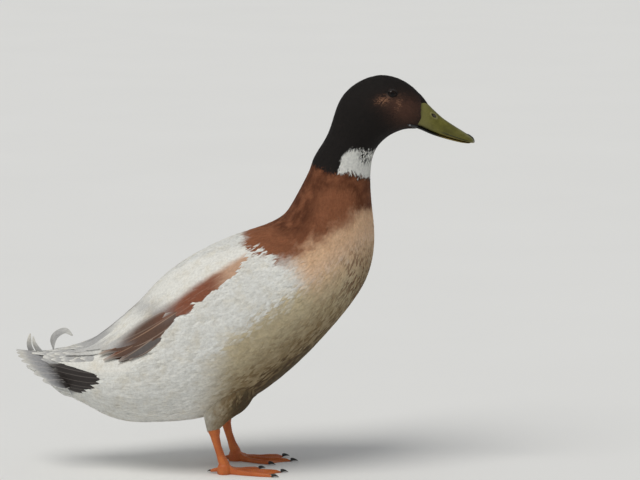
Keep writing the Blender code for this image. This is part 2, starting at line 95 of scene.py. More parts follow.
def between(rows, t):
    """The rows' numbers at place t, on a smooth curve through all rows."""
    last = len(rows) - 1
    i = min(max(int(t), 0), last - 1)
    f = t - i
    p0, p1, p2, p3 = (np.array(rows[min(max(k, 0), last)], float) for k in (i - 1, i, i + 1, i + 2))
    curve = 2 * p1 + (p2 - p0) * f + (2 * p0 - 5 * p1 + 4 * p2 - p3) * f**2
    return 0.5 * (curve + (3 * p1 - p0 - 3 * p2 + p3) * f**3)


def ease(value, low, high):
    """0 below low, 1 above high, smooth between them."""
    f = np.clip((value - low) / (high - low), 0.0, 1.0)
    return f * f * (3 - 2 * f)


def hump(value, middle, width):
    """1 at the middle, falling away on both sides."""
    return np.exp(-(((value - middle) / width) ** 2))


def graph(s, points):
    """A number read off a graph of (place, number) points."""
    places, numbers = zip(*points)
    return np.interp(s, places, numbers)


def unit(v):
    return v / np.maximum(np.linalg.norm(v, axis=-1, keepdims=True), 1e-12)


def ring(count):
    """Angles round a full turn."""
    return 2 * math.pi * np.arange(count) / count


class Surface:
    """A smooth form as a grid of points: rows along it and columns round it, or across an open sheet."""

    def __init__(self, points, length, closed=True):
        self.points = points
        self.length = length  # places along it run from 0 to this
        self.closed = closed
        self.rows, self.columns = points.shape[:2]
        self.along = np.gradient(points, axis=0) * (self.rows - 1) / length
        if closed:
            self.around = (np.roll(points, -1, 1) - np.roll(points, 1, 1)) * self.columns / 2
        else:
            self.around = np.gradient(points, axis=1) * (self.columns - 1)
        self.normal = unit(np.cross(self.along, self.around))

    def read(self, grid, s, t):
        row = np.clip(np.asarray(s) / self.length, 0, 1) * (self.rows - 1)
        i = np.minimum(row.astype(int), self.rows - 2)
        if self.closed:
            column = (np.asarray(t) % 1.0) * self.columns
            j = column.astype(int) % self.columns
            k = (j + 1) % self.columns
        else:
            column = np.clip(t, 0, 1) * (self.columns - 1)
            j = np.minimum(column.astype(int), self.columns - 2)
            k = j + 1
        f, g = (row - i)[..., None], (column - np.floor(column))[..., None]
        near = grid[i, j] * (1 - g) + grid[i, k] * g
        far = grid[i + 1, j] * (1 - g) + grid[i + 1, k] * g
        return near * (1 - f) + far * f

    def at(self, s, t):
        """Points at places s and t. Past either end the form goes straight on."""
        past = np.asarray(s) - np.clip(s, 0, self.length)
        points = self.read(self.points, s, t) + self.read(self.along, s, t) * past[..., None]
        if not self.closed:
            past = np.asarray(t) - np.clip(t, 0, 1)
            points = points + self.read(self.around, s, t) * past[..., None]
        return points

    def normal_at(self, s, t):
        return unit(self.read(self.normal, s, t))

    def pace(self, s, t):
        """Metres for one place along and for one turn round."""
        along = np.linalg.norm(self.read(self.along, s, t), axis=-1)
        around = np.linalg.norm(self.read(self.around, s, t), axis=-1)
        return np.maximum(along, 1e-4), np.maximum(around, 1e-3)

    def find(self, x, z, side, tilt=0.0):
        """The place (s, t) that shows at x and z when one side is looked at, tilt as much from above."""
        half = self.columns // 2
        columns = np.arange(1, half) if side > 0 else np.arange(half + 1, self.columns)
        near = self.points[:, columns]
        away = np.hypot(near[..., 0] - x, near[..., 2] - tilt * np.abs(near[..., 1]) - z)
        i, j = np.unravel_index(np.argmin(away), away.shape)
        return i / (self.rows - 1) * self.length, columns[j] / self.columns


def blur(grid, times, axis, wrap):
    """Evens a grid out along an axis."""
    for _ in range(times):
        if wrap:
            ahead, behind = np.roll(grid, -1, axis), np.roll(grid, 1, axis)
        else:
            ahead = np.concatenate([grid[1:], grid[-1:]])
            behind = np.concatenate([grid[:1], grid[:-1]])
        grid = grid * 0.5 + (ahead + behind) * 0.25
    return grid


def cad_tree(*names):
    vertices, faces = [], []
    for name in names:
        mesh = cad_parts[name].data
        start = len(vertices)
        vertices += [v.co.copy() for v in mesh.vertices]
        faces += [[start + i for i in face.vertices] for face in mesh.polygons]
    return BVHTree.FromPolygons(vertices, faces)


def feel(tree, centre, out, reach):
    """How far a solid's outside is from a point inside it, felt from outside."""
    hit = tree.ray_cast(Vector(centre + out * reach), Vector(-out), reach)
    return reach - hit[3] if hit[3] is not None else np.nan


def body_surface(rows=320, columns=192):
    """The outline of the flesh solids, felt with rays from outside and evened out over the eye sockets."""
    tree = cad_tree("head", "neck", "trunk", "wing_left", "wing_right")
    centres, uprights = np.zeros((rows, 3)), np.zeros((rows, 3))
    radii = np.zeros((rows, columns))
    turns = ring(columns)
    for i in range(rows):
        x, z, lean, reach = between(SPINE, HEAD_END * i / (rows - 1))
        lean = math.radians(lean)
        centres[i], uprights[i] = (x, 0, z), (math.sin(lean), 0, math.cos(lean))
        for j, turn in enumerate(turns):
            out = uprights[i] * math.cos(turn) + Y * math.sin(turn)
            radii[i, j] = feel(tree, centres[i], out, reach)
    middle = np.nanmedian(radii, axis=1, keepdims=True)
    radii = np.where(np.isnan(radii), middle, radii)
    out = uprights[:, None] * np.cos(turns)[None, :, None] + Y * np.sin(turns)[None, :, None]
    socket = np.zeros((rows, columns), bool)
    for side in SIDES:
        gap = np.array((EYE.x, side * EYE.y, EYE.z)) - centres[:, None]
        away = np.linalg.norm(gap - (gap * out).sum(-1, keepdims=True) * out, axis=-1)
        socket |= (away < EYE_SOCKET) & ((gap * out).sum(-1) > 0)
    for i in np.flatnonzero(socket.any(axis=1)):
        radii[i] = np.interp(turns, turns[~socket[i]], radii[i, ~socket[i]])
    radii = blur(blur(radii, 16, 1, True), 10, 0, False)
    points = centres[:, None] + out * radii[..., None]
    rough = Surface(points, HEAD_END)
    gap = np.zeros((rows, columns))
    for i in range(rows):
        for j in range(columns):
            place = Vector(points[i, j])
            nearest = tree.find_nearest(place)[0]
            gap[i, j] = (nearest - place).dot(Vector(rough.normal[i, j]))
    gap[socket] = 0.0
    gap = blur(blur(np.clip(gap, -0.006, 0.006), 5, 1, True), 3, 0, False)
    points = points + rough.normal * gap[..., None]
    return Surface(points, HEAD_END)


# ---------------------------------------------------------------- camera, light and floor

VIEW_TARGET = Vector((0.079, 0.0, 0.2405))
VIEW_DISTANCE = 4.0
VIEW_ELEVATION = math.radians(8)
VIEW_WIDTH = 0.6656  # metres that the picture spans at the target


def aim(made, place, target):
    made.location = place
    made.rotation_mode = "QUATERNION"
    made.rotation_quaternion = (Vector(target) - Vector(place)).to_track_quat("-Z", "Y")


def add_camera():
    camera = bpy.data.cameras.new("camera")
    made = bpy.data.objects.new("camera", camera)
    bpy.context.scene.collection.objects.link(made)
    back = Vector((0.0, -math.cos(VIEW_ELEVATION), math.sin(VIEW_ELEVATION)))
    aim(made, VIEW_TARGET + back * VIEW_DISTANCE, VIEW_TARGET)
    camera.lens = camera.sensor_width * VIEW_DISTANCE / VIEW_WIDTH
    camera.clip_end = 100.0
    bpy.context.scene.camera = made


def add_sun(name, place, power, softness, colour):
    light = bpy.data.lights.new(name, "SUN")
    light.energy = power
    light.angle = math.radians(softness)
    light.color = colour
    made = bpy.data.objects.new(name, light)
    bpy.context.scene.collection.objects.link(made)
    aim(made, place, (0.0, 0.0, 0.0))


def add_stage():
    world = bpy.data.worlds.new("studio")
    bpy.context.scene.world = world
    world.use_nodes = True
    background = world.node_tree.nodes["Background"]
    background.inputs["Color"].default_value = (0.95, 0.97, 1.0, 1.0)
    background.inputs["Strength"].default_value = 0.42
    add_sun("key", (-1.0, -1.3, 2.6), 1.75, 35, (1.0, 0.98, 0.94))
    bm = bmesh.new()
    bmesh.ops.create_grid(bm, x_segments=1, y_segments=1, size=30.0)
    mesh = bpy.data.meshes.new("floor")
    bm.to_mesh(mesh)
    bm.free()
    floor = bpy.data.objects.new("floor", mesh)
    bpy.context.scene.collection.objects.link(floor)
    mesh.materials.append(floor_finish())
    bpy.context.scene.view_settings.view_transform = "Standard"


# ---------------------------------------------------------------- materials


def tint(red, green, blue):
    """A colour given as it looks on a screen, 0 to 255, as light amounts."""
    parts = (v / 255 for v in (red, green, blue))
    return (*(v / 12.92 if v <= 0.04045 else ((v + 0.055) / 1.055) ** 2.4 for v in parts), 1.0)


class Net:
    """A short way to write a node tree: each call adds a node and returns its output socket."""

    def __init__(self, tree):
        self.tree = tree

    def node(self, kind, **settings):
        made = self.tree.nodes.new(kind)
        for name, value in settings.items():
            setattr(made, name, value)
        return made

    def feed(self, socket, value):
        if isinstance(value, bpy.types.NodeSocket):
            self.tree.links.new(value, socket)
        else:
            socket.default_value = value

    def attribute(self, name):
        return self.node("ShaderNodeAttribute", attribute_name=name).outputs["Vector"]

    def object_place(self):
        return self.node("ShaderNodeTexCoord").outputs["Object"]

    def join(self, *parts):
        made = self.node("ShaderNodeCombineXYZ")
        for socket, value in zip(made.inputs, parts):
            self.feed(socket, value)
        return made.outputs[0]

    def split(self, vector):
        made = self.node("ShaderNodeSeparateXYZ")
        self.feed(made.inputs[0], vector)
        return made.outputs

    def math(self, operation, *values):
        made = self.node("ShaderNodeMath", operation=operation)
        for socket, value in zip(made.inputs, values):
            self.feed(socket, value)
        return made.outputs[0]

    def times(self, first, second):
        return self.math("MULTIPLY", first, second)

    def scaled(self, value, low, high, to_low=0.0, to_high=1.0):
        made = self.node("ShaderNodeMapRange", interpolation_type="SMOOTHSTEP")
        for socket, number in zip(made.inputs, (value, low, high, to_low, to_high)):
            self.feed(socket, number)
        return made.outputs[0]

    def mix(self, share, first, second):
        made = self.node("ShaderNodeMix", data_type="RGBA")
        self.feed(made.inputs["Factor"], share)
        self.feed(made.inputs[6], first)
        self.feed(made.inputs[7], second)
        return made.outputs[2]

    def lit(self, colour, level):
        """A colour made lighter or darker."""
        made = self.node("ShaderNodeVectorMath", operation="SCALE")
        self.feed(made.inputs[0], colour)
        self.feed(made.inputs["Scale"], level)
        return made.outputs[0]

    def stretch(self, vector, scale):
        made = self.node("ShaderNodeMapping")
        self.feed(made.inputs["Vector"], vector)
        self.feed(made.inputs["Scale"], scale)
        return made.outputs[0]

    def noise(self, vector, scale, detail, roughness=0.5):
        made = self.node("ShaderNodeTexNoise")
        self.feed(made.inputs["Vector"], vector)
        self.feed(made.inputs["Scale"], scale)
        self.feed(made.inputs["Detail"], detail)
        self.feed(made.inputs["Roughness"], roughness)
        return made.outputs["Fac"]

    def cell_edges(self, vector, scale):
        """How far a point is from the edge of its cell, for small horny scales."""
        made = self.node("ShaderNodeTexVoronoi", feature="DISTANCE_TO_EDGE")
        self.feed(made.inputs["Vector"], vector)
        self.feed(made.inputs["Scale"], scale)
        return made.outputs["Distance"]

    def bump(self, height, strength, distance):
        made = self.node("ShaderNodeBump")
        self.feed(made.inputs["Height"], height)
        self.feed(made.inputs["Strength"], strength)
        self.feed(made.inputs["Distance"], distance)
        return made.outputs[0]


def finish(name, **constants):
    """A new Principled material and its net. Constants go on the shader's own sockets."""
    made = bpy.data.materials.new(name)
    made.use_nodes = True
    shader = made.node_tree.nodes["Principled BSDF"]
    for socket, value in constants.items():
        shader.inputs[socket.replace("_", " ")].default_value = value
    return made, Net(made.node_tree), shader


def floor_finish():
    made, net, shader = finish("studio_floor", Roughness=0.9)
    grain = net.noise(net.object_place(), 3.0, 3.0)
    net.feed(shader.inputs["Base Color"], net.mix(grain, tint(228, 228, 226), tint(232, 232, 230)))
    return made


# Plumage colours by name, as they look in even light, apart from painted shade.
WHITE, CREAM = tint(232, 231, 224), tint(218, 209, 188)
BLACK, CHEEK, OCHRE = tint(25, 21, 19), tint(80, 54, 43), tint(140, 100, 76)
# The dark chestnut also serves as painted shade on the neck's front.
CHESTNUT, MANTLE_AND_SHADE = tint(136, 84, 56), tint(86, 46, 24)
TAN = tint(220, 180, 144)
# The deepest brown is painted shade at the bottom of the belly.
STRAW, SOIL, EARTH_SHADE = tint(184, 165, 124), tint(130, 111, 80), tint(78, 66, 47)
RUST, UMBER = tint(128, 67, 36), tint(90, 63, 48)
SLATE, ASH, SOOT = tint(96, 92, 90), tint(157, 157, 158), tint(46, 40, 37)


def plumage_group():
    """The markings, shared by skin and coat: region marks in, colour out."""
    group = bpy.data.node_groups.new("plumage_markings", "ShaderNodeTree")
    group.interface.new_socket("Colour", in_out="OUTPUT", socket_type="NodeSocketColor")
    net = Net(group)
    place = net.attribute("root_place")
    dark, collar, cheek = net.split(net.attribute("mark_head"))
    chestnut, mantle_and_shade, tan = net.split(net.attribute("mark_neck"))
    rust, umber, grey = net.split(net.attribute("mark_wing"))
    straw, soil_and_shade, fleck = net.split(net.attribute("mark_belly"))
    soot, ash, ochre = net.split(net.attribute("mark_tail"))
    patchy = net.noise(place, 60.0, 3.0, 0.6)
    fine = net.noise(place, 420.0, 2.0)
    base = net.mix(net.scaled(patchy, 0.42, 0.85, 0.0, 0.7), WHITE, CREAM)
    base = net.mix(net.times(straw, 0.85), base, STRAW)
    # Beyond full strength the dirty brown deepens: painted shade under the belly.
    dirt_and_shade_colour = net.mix(net.scaled(soil_and_shade, 1.0, 1.6), SOIL, EARTH_SHADE)
    base = net.mix(net.times(soil_and_shade, net.scaled(patchy, 0.2, 0.7, 0.6, 1.0)), base, dirt_and_shade_colour)
    base = net.mix(tan, base, TAN)
    # The dark chestnut mark holds painted shade on the neck's front too.
    warm = net.mix(net.times(mantle_and_shade, net.scaled(patchy, 0.25, 0.6)), CHESTNUT, MANTLE_AND_SHADE)
    mottled = net.math("ADD", chestnut, net.scaled(patchy, 0.3, 0.7, -0.14, 0.14))
    base = net.mix(net.scaled(mottled, 0.14, 0.86), base, warm)
    base = net.mix(rust, base, net.mix(umber, RUST, UMBER))
    base = net.mix(ash, base, ASH)
    base = net.mix(soot, base, SOOT)
    base = net.mix(grey, base, SLATE)
    base = net.mix(net.times(fleck, 0.65), base, MANTLE_AND_SHADE)
    head = net.mix(ochre, net.mix(cheek, BLACK, CHEEK), OCHRE)
    base = net.mix(dark, base, head)
    base = net.mix(collar, base, WHITE)
    end = net.node("NodeGroupOutput")
    net.feed(end.inputs[0], net.lit(base, net.scaled(fine, 0.25, 0.75, 0.90, 1.07)))
    return group


def use_group(net, group):
    made = net.node("ShaderNodeGroup")
    made.node_tree = group
    return made.outputs[0]


def feather_finish(group):
    """Soft contour feathers: the markings, with barbs and a little of its own on each feather."""
    made, net, shader = finish("contour_feather", Roughness=0.8, Specular_IOR_Level=0.2,
                               Subsurface_Weight=0.3, Subsurface_Radius=(1.0, 0.9, 0.8),
                               Subsurface_Scale=0.0010)
    colour = use_group(net, group)
    across, along, own = net.split(net.attribute("vane"))
    sweep = net.math("ADD", net.times(net.math("ABSOLUTE", across), -0.25), along)
    grain = net.join(net.times(across, 9.0), net.times(sweep, 3.0),
                     net.times(own, 50.0))
    barbs = net.noise(grain, 1.0, 2.0)
    level = net.times(net.scaled(own, 0.0, 1.0, 0.97, 1.03), net.scaled(barbs, 0.3, 0.7, 0.94, 1.05))
    net.feed(shader.inputs["Base Color"], net.lit(colour, level))
    net.feed(shader.inputs["Normal"], net.bump(barbs, 0.3, 0.0002))
    return made


def firm_finish(group, name, edge, shaft):
    """Firm wing and tail feathers: barbs that sweep back from a pale shaft, and a worn edge.

    edge and shaft are each a colour and how strongly it shows.
    """
    made, net, shader = finish(name, Roughness=0.55, Specular_IOR_Level=0.35)
    colour = use_group(net, group)
    across, along, own = net.split(net.attribute("vane"))
    side = net.math("ABSOLUTE", across)
    sweep = net.math("ADD", net.times(side, -0.35), along)
    grain = net.join(net.times(sweep, 160.0), net.times(own, 50.0))
    barbs = net.noise(grain, 1.0, 2.0)
    colour = net.lit(colour, net.scaled(barbs, 0.3, 0.7, 0.85, 1.00))
    colour = net.mix(net.scaled(side, 0.86, 0.99, 0.0, edge[1]), colour, edge[0])
    colour = net.mix(net.scaled(side, 0.035, 0.075, shaft[1], 0.0), colour, shaft[0])
    net.feed(shader.inputs["Base Color"], colour)
    ridges = net.math("SINE", net.times(sweep, 420.0))
    net.feed(shader.inputs["Normal"], net.bump(ridges, 0.2, 0.0002))
    return made


def skin_finish(group):
    made, net, shader = finish("skin_down", Roughness=0.9)
    net.feed(shader.inputs["Base Color"], use_group(net, group))
    fluff = net.noise(net.object_place(), 900.0, 3.0)
    net.feed(shader.inputs["Normal"], net.bump(fluff, 0.5, 0.0006))
    return made


# ---------------------------------------------------------------- markings

# The lower edge of the black hood along the neck, and the upper edge of the white collar, as (x, z).
HOOD_EDGE = ((0.068, 0.3210), (0.090, 0.3140), (0.098, 0.3130), (0.105, 0.3145), (0.115, 0.3130),
             (0.1227, 0.3095), (0.133, 0.3060))
COLLAR_TOP = ((0.098, 0.3180), (0.101, 0.3290), (0.1045, 0.3340), (0.110, 0.3375), (0.121, 0.3370),
              (0.133, 0.3345))
# The lower edge of the chestnut mantle where it meets the white shoulder.
MANTLE_EDGE = ((-0.014, 0.275), (-0.010, 0.248), (-0.004, 0.234), (0.026, 0.227), (0.036, 0.214),
               (0.048, 0.202), (0.060, 0.150))
# The rust streak along the folded wing: its lower and its upper edge.
STREAK_LOW = ((-0.140, 0.1140), (-0.120, 0.1190), (-0.103, 0.1270), (-0.091, 0.1360), (-0.081, 0.1460),
              (-0.059, 0.1629), (-0.047, 0.1696), (-0.033, 0.1829), (-0.017, 0.1947), (0.003, 0.2147))
STREAK_HIGH = ((-0.146, 0.1206), (-0.136, 0.1319), (-0.123, 0.1458), (-0.107, 0.1574), (-0.091, 0.1670),
               (-0.075, 0.1752), (-0.054, 0.1909), (-0.038, 0.2007), (-0.020, 0.2114), (0.003, 0.2246))
# The folded wing's lower edge, where the flank feathers lie over it.
WING_LOW = ((-0.205, 0.1165), (-0.192, 0.1145), (-0.165, 0.1115), (-0.145, 0.1085), (-0.133, 0.1090),
            (-0.117, 0.1110), (-0.100, 0.1165), (-0.092, 0.1270), (-0.086, 0.1420), (-0.078, 0.1550),
            (-0.062, 0.1690), (-0.047, 0.1755), (-0.033, 0.1869), (-0.017, 0.1987), (0.003, 0.2147),
            (0.020, 0.2320), (0.030, 0.2620))
# How far out from the middle plane it starts on the back.
WING_INNER = ((-0.192, 0.004), (-0.086, 0.006), (-0.060, 0.013), (-0.012, 0.027), (0.026, 0.037))
WING_FRONT = 0.018
SIDE_FALL = 0.14  # how much lower a place shows for each metre that it stands out to the side


def shown_height(points):
    """Heights as they show from the side and a little above, where the near side comes lower."""
    return points[..., 2] - SIDE_FALL * np.abs(points[..., 1])


def wing_height(points):
    """The same over the wing. At its tips, which lie close in, heights stay as they are."""
    return points[..., 2] - SIDE_FALL * np.abs(points[..., 1]) * ease(points[..., 0], -0.140, -0.090)


def in_wing(points):
    x, side = points[..., 0], np.abs(points[..., 1])
    return (wing_height(points) > graph(x, WING_LOW)) & (x < WING_FRONT) & (side > graph(x, WING_INNER))


def beside_tail(points):
    """The side of the rump that the large dark feathers of the tail's side cover."""
    x, z = points[..., 0], points[..., 2]
    low = (z < graph(x, WING_LOW) + 0.004) & (x < -0.140) & (np.abs(points[..., 1]) > 0.016)
    return (x < -0.150 + (z - 0.100) * 0.6) & (z > 0.089) & low


def head_marks(x, z, side, chance):
    """The black hood, its brown cheek and pale brown flecks, and the white collar over a thin dark line."""
    hood = graph(x, HOOD_EDGE)
    dark = ease(z, hood - 0.0008, hood + 0.0008)
    top = graph(x, COLLAR_TOP)
    collar = dark * ease(x, 0.0972, 0.0992) * (1 - ease(z, top - 0.0015, top + 0.0015))
    speckled = ease(x, 0.116, 0.124) * ease(z, 0.318, 0.328)
    collar = collar * (1 - (chance < 0.45) * speckled)
    dark = np.maximum(dark, 0.8 * hump(z - hood, -0.0012, 0.0010) * ease(x, 0.092, 0.100))
    cheek = hump(x, 0.169, 0.017) * hump(z, 0.376, 0.014) * ease(side, 0.004, 0.010)
    cheek = cheek + 0.5 * hump(x, 0.153, 0.016) * hump(z, 0.386, 0.008) * ease(side, 0.006, 0.012)
    behind = hump(x, 0.1440, 0.0060) * hump(z, 0.3890, 0.0034)
    before = hump(x, 0.1600, 0.0024) * hump(z, 0.3850, 0.0065)
    ochre = np.clip(1.3 * behind + 0.8 * before, 0, 1) * (chance < 0.55) * ease(side, 0.008, 0.012)
    return dark, np.clip(collar, 0, 1), np.clip(cheek, 0, 1), ochre


def neck_marks(x, z, chance):
    """Chestnut of neck and shoulder, darker higher up, partly painted shade on the neck's front; tan breast.
    """
    down = (x - 0.048) * 0.576 - (z - 0.213) * 0.817
    edge = graph(x, MANTLE_EDGE)
    above = ease(z + 0.014 * (chance - 0.5), edge - 0.009, edge + 0.006) * ease(x, -0.012, 0.012)
    chestnut = np.maximum(1 - ease(down, -0.030, 0.022), ease(z, 0.262, 0.285)) * above
    nape = x - (0.056 + 0.75 * (z - 0.280))
    mantle_and_shade = hump(x, 0.054, 0.026) * hump(z, 0.262, 0.024) + 0.95 * ease(z, 0.286, 0.302)
    mantle_and_shade = mantle_and_shade + 0.7 * (1 - ease(nape, 0.004, 0.026)) * ease(z, 0.250, 0.262)
    # Darker on the neck's front: partly its colour, partly painted shade.
    mantle_and_shade = np.clip(mantle_and_shade + 0.8 * ease(x, 0.108, 0.121) * ease(z, 0.255, 0.280), 0, 1)
    tan = (1 - ease(down, 0.008, 0.060)) * ease(x + 0.5 * (z - 0.200), 0.044, 0.076)
    return chestnut, mantle_and_shade, tan


def wing_marks(x, z, side, wing):
    """The rust streak along the folded wing, how umber it is, and the grey on the back between the wings."""
    low, high = graph(x, STREAK_LOW), graph(x, STREAK_HIGH)
    soft = 0.0025 + 0.07 * (0.01 - np.minimum(x, 0.01))
    rust = ease(z, low - 0.0008, low + 0.0008) * (1 - ease(z, high - soft, high + 0.004))
    rust = rust * ease(x, -0.147, -0.135) * (1 - ease(x, 0.000, 0.012)) * (side > 0.012) * wing
    umber = 1 - ease(x, -0.100, -0.060)
    grey = 0.5 * (1 - ease(side, 0.002, 0.007)) * (1 - ease(x, -0.120, -0.090)) * ease(x, -0.175, -0.160)
    return rust, umber, grey


def belly_marks(x, z, chance):
    """Straw and dirty brown below, painted shade low on the belly and at the breast's front, dark breast
    flecks.
    """
    under = (x - 0.0686) * 0.60 - (z - 0.190) * 0.80 + 0.014 * (chance - 0.5)
    fade = ease(x, -0.060, 0.000)
    straw = ease(under, -0.016, 0.004) * fade
    # Dirty brown low on the belly; the second term takes it past full strength as painted shade at the
    # bottom.
    soil_and_shade = (ease(under, 0.008, 0.044) + 0.6 * ease(under, 0.038, 0.056)) * fade
    # The breast's front edge: its dirty brown with painted shade over it.
    soil_and_shade = soil_and_shade + 0.8 * ease(x, 0.105, 0.130) * (1 - ease(z, 0.215, 0.262))
    scallop = hump(x, 0.118, 0.020) * hump(z, 0.205, 0.030)
    fleck = (chance > 0.72) * np.clip(scallop + 0.2 * soil_and_shade, 0, 1)
    return straw, soil_and_shade, fleck


def tail_marks(x, z, side, wing):
    """The dark patch on the tail's side, and ash grey below it, on the rump and high on the wing."""
    slant = z - 0.100
    tail_side = (1 - ease(x, slant - 0.163, slant - 0.157)) * (z < graph(x, WING_LOW) + 0.002)
    soot = tail_side * ease(z, 0.086, 0.091) * ease(x, -0.196, -0.188)
    soot = soot * ease(side, 0.015, 0.019) * (not wing)
    ash = tail_side * (1 - ease(z, 0.086, 0.091)) * 0.9
    ash = ash + (1 - ease(x, -0.150, -0.125)) * (side < 0.020) * (z > 0.110) * 0.8
    ash = ash + 0.5 * hump(x, -0.098, 0.024) * hump(z, 0.174, 0.008) * wing
    return soot, np.clip(ash, 0, 1)


def marks(points, wander=0.0, chance=0.5, wing=False):
    """How strongly each region's colour shows at points, as sets of three numbers each."""
    x, z, side = points[:, 0] + wander, points[:, 2] + wander, np.abs(points[:, 1])
    shown = shown_height(points) + wander
    dark, collar, cheek, ochre = head_marks(x, z, side, chance)
    chestnut, mantle_and_shade, tan = neck_marks(x, shown, chance)
    rust, umber, grey = wing_marks(x, wing_height(points) + wander, side, wing)
    tan = np.maximum(tan, 0.9 * rust * ease(x, -0.050, -0.026))
    rust = rust * (1 - 0.60 * ease(x, -0.036, -0.012))
    straw, soil_and_shade, fleck = belly_marks(x, shown, chance)
    soot, ash = tail_marks(x, z, side, wing)
    return {
        "mark_head": np.stack([dark, collar, cheek], 1),
        "mark_neck": np.stack([chestnut, mantle_and_shade, tan], 1),
        "mark_wing": np.stack([rust, umber, grey * (points[:, 2] > 0.118)], 1),
        "mark_belly": np.stack([straw, soil_and_shade, fleck], 1),
        "mark_tail": np.stack([soot, ash, ochre], 1),
    }


def put_marks(mesh, points, values):
    for name, numbers in values.items():
        put_vectors(mesh, name, numbers)
    put_vectors(mesh, "root_place", points)


def put_vectors(mesh, name, values):
    attribute = mesh.attributes.new(name, "FLOAT_VECTOR", "POINT")
    attribute.data.foreach_set("vector", values.astype(np.float32).ravel())


# ---------------------------------------------------------------- making pieces


def add_piece(name, mesh, material, slot, *nodes):
    """A finished piece that rides on the bird and may stand for CAD nodes."""
    made = bpy.data.objects.new(name, mesh)
    bpy.context.scene.collection.objects.link(made)
    mesh.materials.clear()
    mesh.materials.append(material)
    if not mesh.has_custom_normals:
        mesh.shade_smooth()
        mesh.set_sharp_from_angle(angle=math.radians(50))
    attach(made, "root")
    if nodes:
        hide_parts(*nodes)


def wrap(bm, points, closed_rows=False):
    """Lays a bmesh grid over a grid of points, closes it round its columns and closes its ends."""
    points = np.concatenate([points, points[:, :1]], axis=1)
    if closed_rows:
        points = np.concatenate([points, points[:1]], axis=0)
    rows, columns = points.shape[:2]
    made = bmesh.ops.create_grid(bm, x_segments=columns - 1, y_segments=rows - 1)["verts"]
    for vertex, place in zip(made, points.reshape(-1, 3)):
        vertex.co = place
    bmesh.ops.remove_doubles(bm, verts=made, dist=1e-6)
    if not closed_rows:
        bmesh.ops.holes_fill(bm, edges=[e for e in bm.edges if e.is_boundary])
    bmesh.ops.recalc_face_normals(bm, faces=bm.faces)


def settle(bm):
    """Sorts the faces by their corners, because some operators leave them in a new order each run."""
    bm.verts.index_update()
    many = len(bm.verts)

    def rank(face):
        low = sorted(corner.index for corner in face.verts)
        return (low[0] * many + low[1]) * many + low[2]

    bm.faces.sort(key=rank)


def to_mesh(name, bm):
    mesh = bpy.data.meshes.new(name)
    bm.to_mesh(mesh)
    bm.free()
    return mesh


def vertex_places(mesh):
    places = np.empty(len(mesh.vertices) * 3, np.float32)
    mesh.vertices.foreach_get("co", places)
    return places.reshape(-1, 3).astype(float)


def remeshed(mesh, voxel, passes):
    """The mesh as one even skin: its overlapping closed parts become one, and its facets are smoothed."""
    rough = bpy.data.objects.new("rough", mesh)
    bpy.context.scene.collection.objects.link(rough)
    modifier = rough.modifiers.new("one_skin", "REMESH")
    modifier.mode = "VOXEL"
    modifier.voxel_size = voxel
    evaluated = rough.evaluated_get(bpy.context.evaluated_depsgraph_get())
    made = bpy.data.meshes.new_from_object(evaluated)
    bpy.data.objects.remove(rough, do_unlink=True)
    bm = bmesh.new()
    bm.from_mesh(made)
    for _ in range(passes):
        bmesh.ops.smooth_vert(bm, verts=bm.verts, factor=0.5, use_axis_x=True, use_axis_y=True,
                              use_axis_z=True)
    bm.to_mesh(made)
    bm.free()
    return made


# ---------------------------------------------------------------- feathers

Vane = namedtuple("Vane", "corners raw faces outside")


def vane_template(across, along, tip, crown, fray=0.0, root=0.35, point=0.24, shaft=0.0, sheet=0.0,
                  keel=0.3):
    """A thin closed vane, 1 long and 2 wide: its corners (along, across, height) and its triangles.

    fray is how far the barbs' ends part at the tip, tip and root the width there, point how far the
    corners of the tip fall back, crown the height of its middle and shaft that of its shaft. A vane with
    a sheet thickness has an underside of the same form. One without is closed by a flat cone that reaches
    keel deep, so that it never shows through where the body is hollow.
    """
    bm = bmesh.new()
    bmesh.ops.create_grid(bm, x_segments=across, y_segments=along, size=1.0)
    raw_across = bm.verts.layers.float.new("across")
    raw_along = bm.verts.layers.float.new("along")
    for vertex in bm.verts:
        u, f = vertex.co.x, (vertex.co.y + 1) / 2
        width = root + (1 - root) * math.sin(min(f / 0.5, 1.0) * math.pi / 2)
        if f > 0.55:
            width *= 1 - (1 - tip) * ((f - 0.55) / 0.45) ** 2
        column = round((u + 1) / 2 * across)
        parted = fray * (0.5 - column % 2) * ease(f, 0.5, 1.0)
        rounded = point * u * u * f * f
        height = crown * (1 - u * u) + 0.004
        if column * 2 == across:
            height += shaft
        vertex[raw_across], vertex[raw_along] = u, f
        vertex.co = (f - rounded + parted, u * width, height)
    if sheet:
        made = bmesh.ops.extrude_face_region(bm, geom=bm.faces[:], use_keep_orig=True)["geom"]
        under = [v for v in made if isinstance(v, bmesh.types.BMVert)]
        bmesh.ops.translate(bm, vec=(0.0, 0.0, -sheet), verts=under)
    else:
        closing = bmesh.ops.contextual_create(bm, geom=[e for e in bm.edges if e.is_boundary])["faces"]
        for vertex in bmesh.ops.poke(bm, faces=closing)["verts"]:
            vertex.co = (0.5, 0.0, -keel)
            vertex[raw_across], vertex[raw_along] = 0.0, 0.5
    bmesh.ops.triangulate(bm, faces=bm.faces)
    bmesh.ops.recalc_face_normals(bm, faces=bm.faces)
    bmesh.ops.reverse_faces(bm, faces=bm.faces)  # because its tip is laid towards falling places
    settle(bm)
    corners = np.array([v.co for v in bm.verts])
    raw = np.array([(v[raw_across], v[raw_along]) for v in bm.verts])
    faces = np.array([[v.index for v in face.verts] for face in bm.faces])
    bm.normal_update()
    outside = np.array([-math.copysign(1.0, face.normal.z) for face in bm.faces])
    bm.free()
    return Vane(corners, raw, faces, outside)


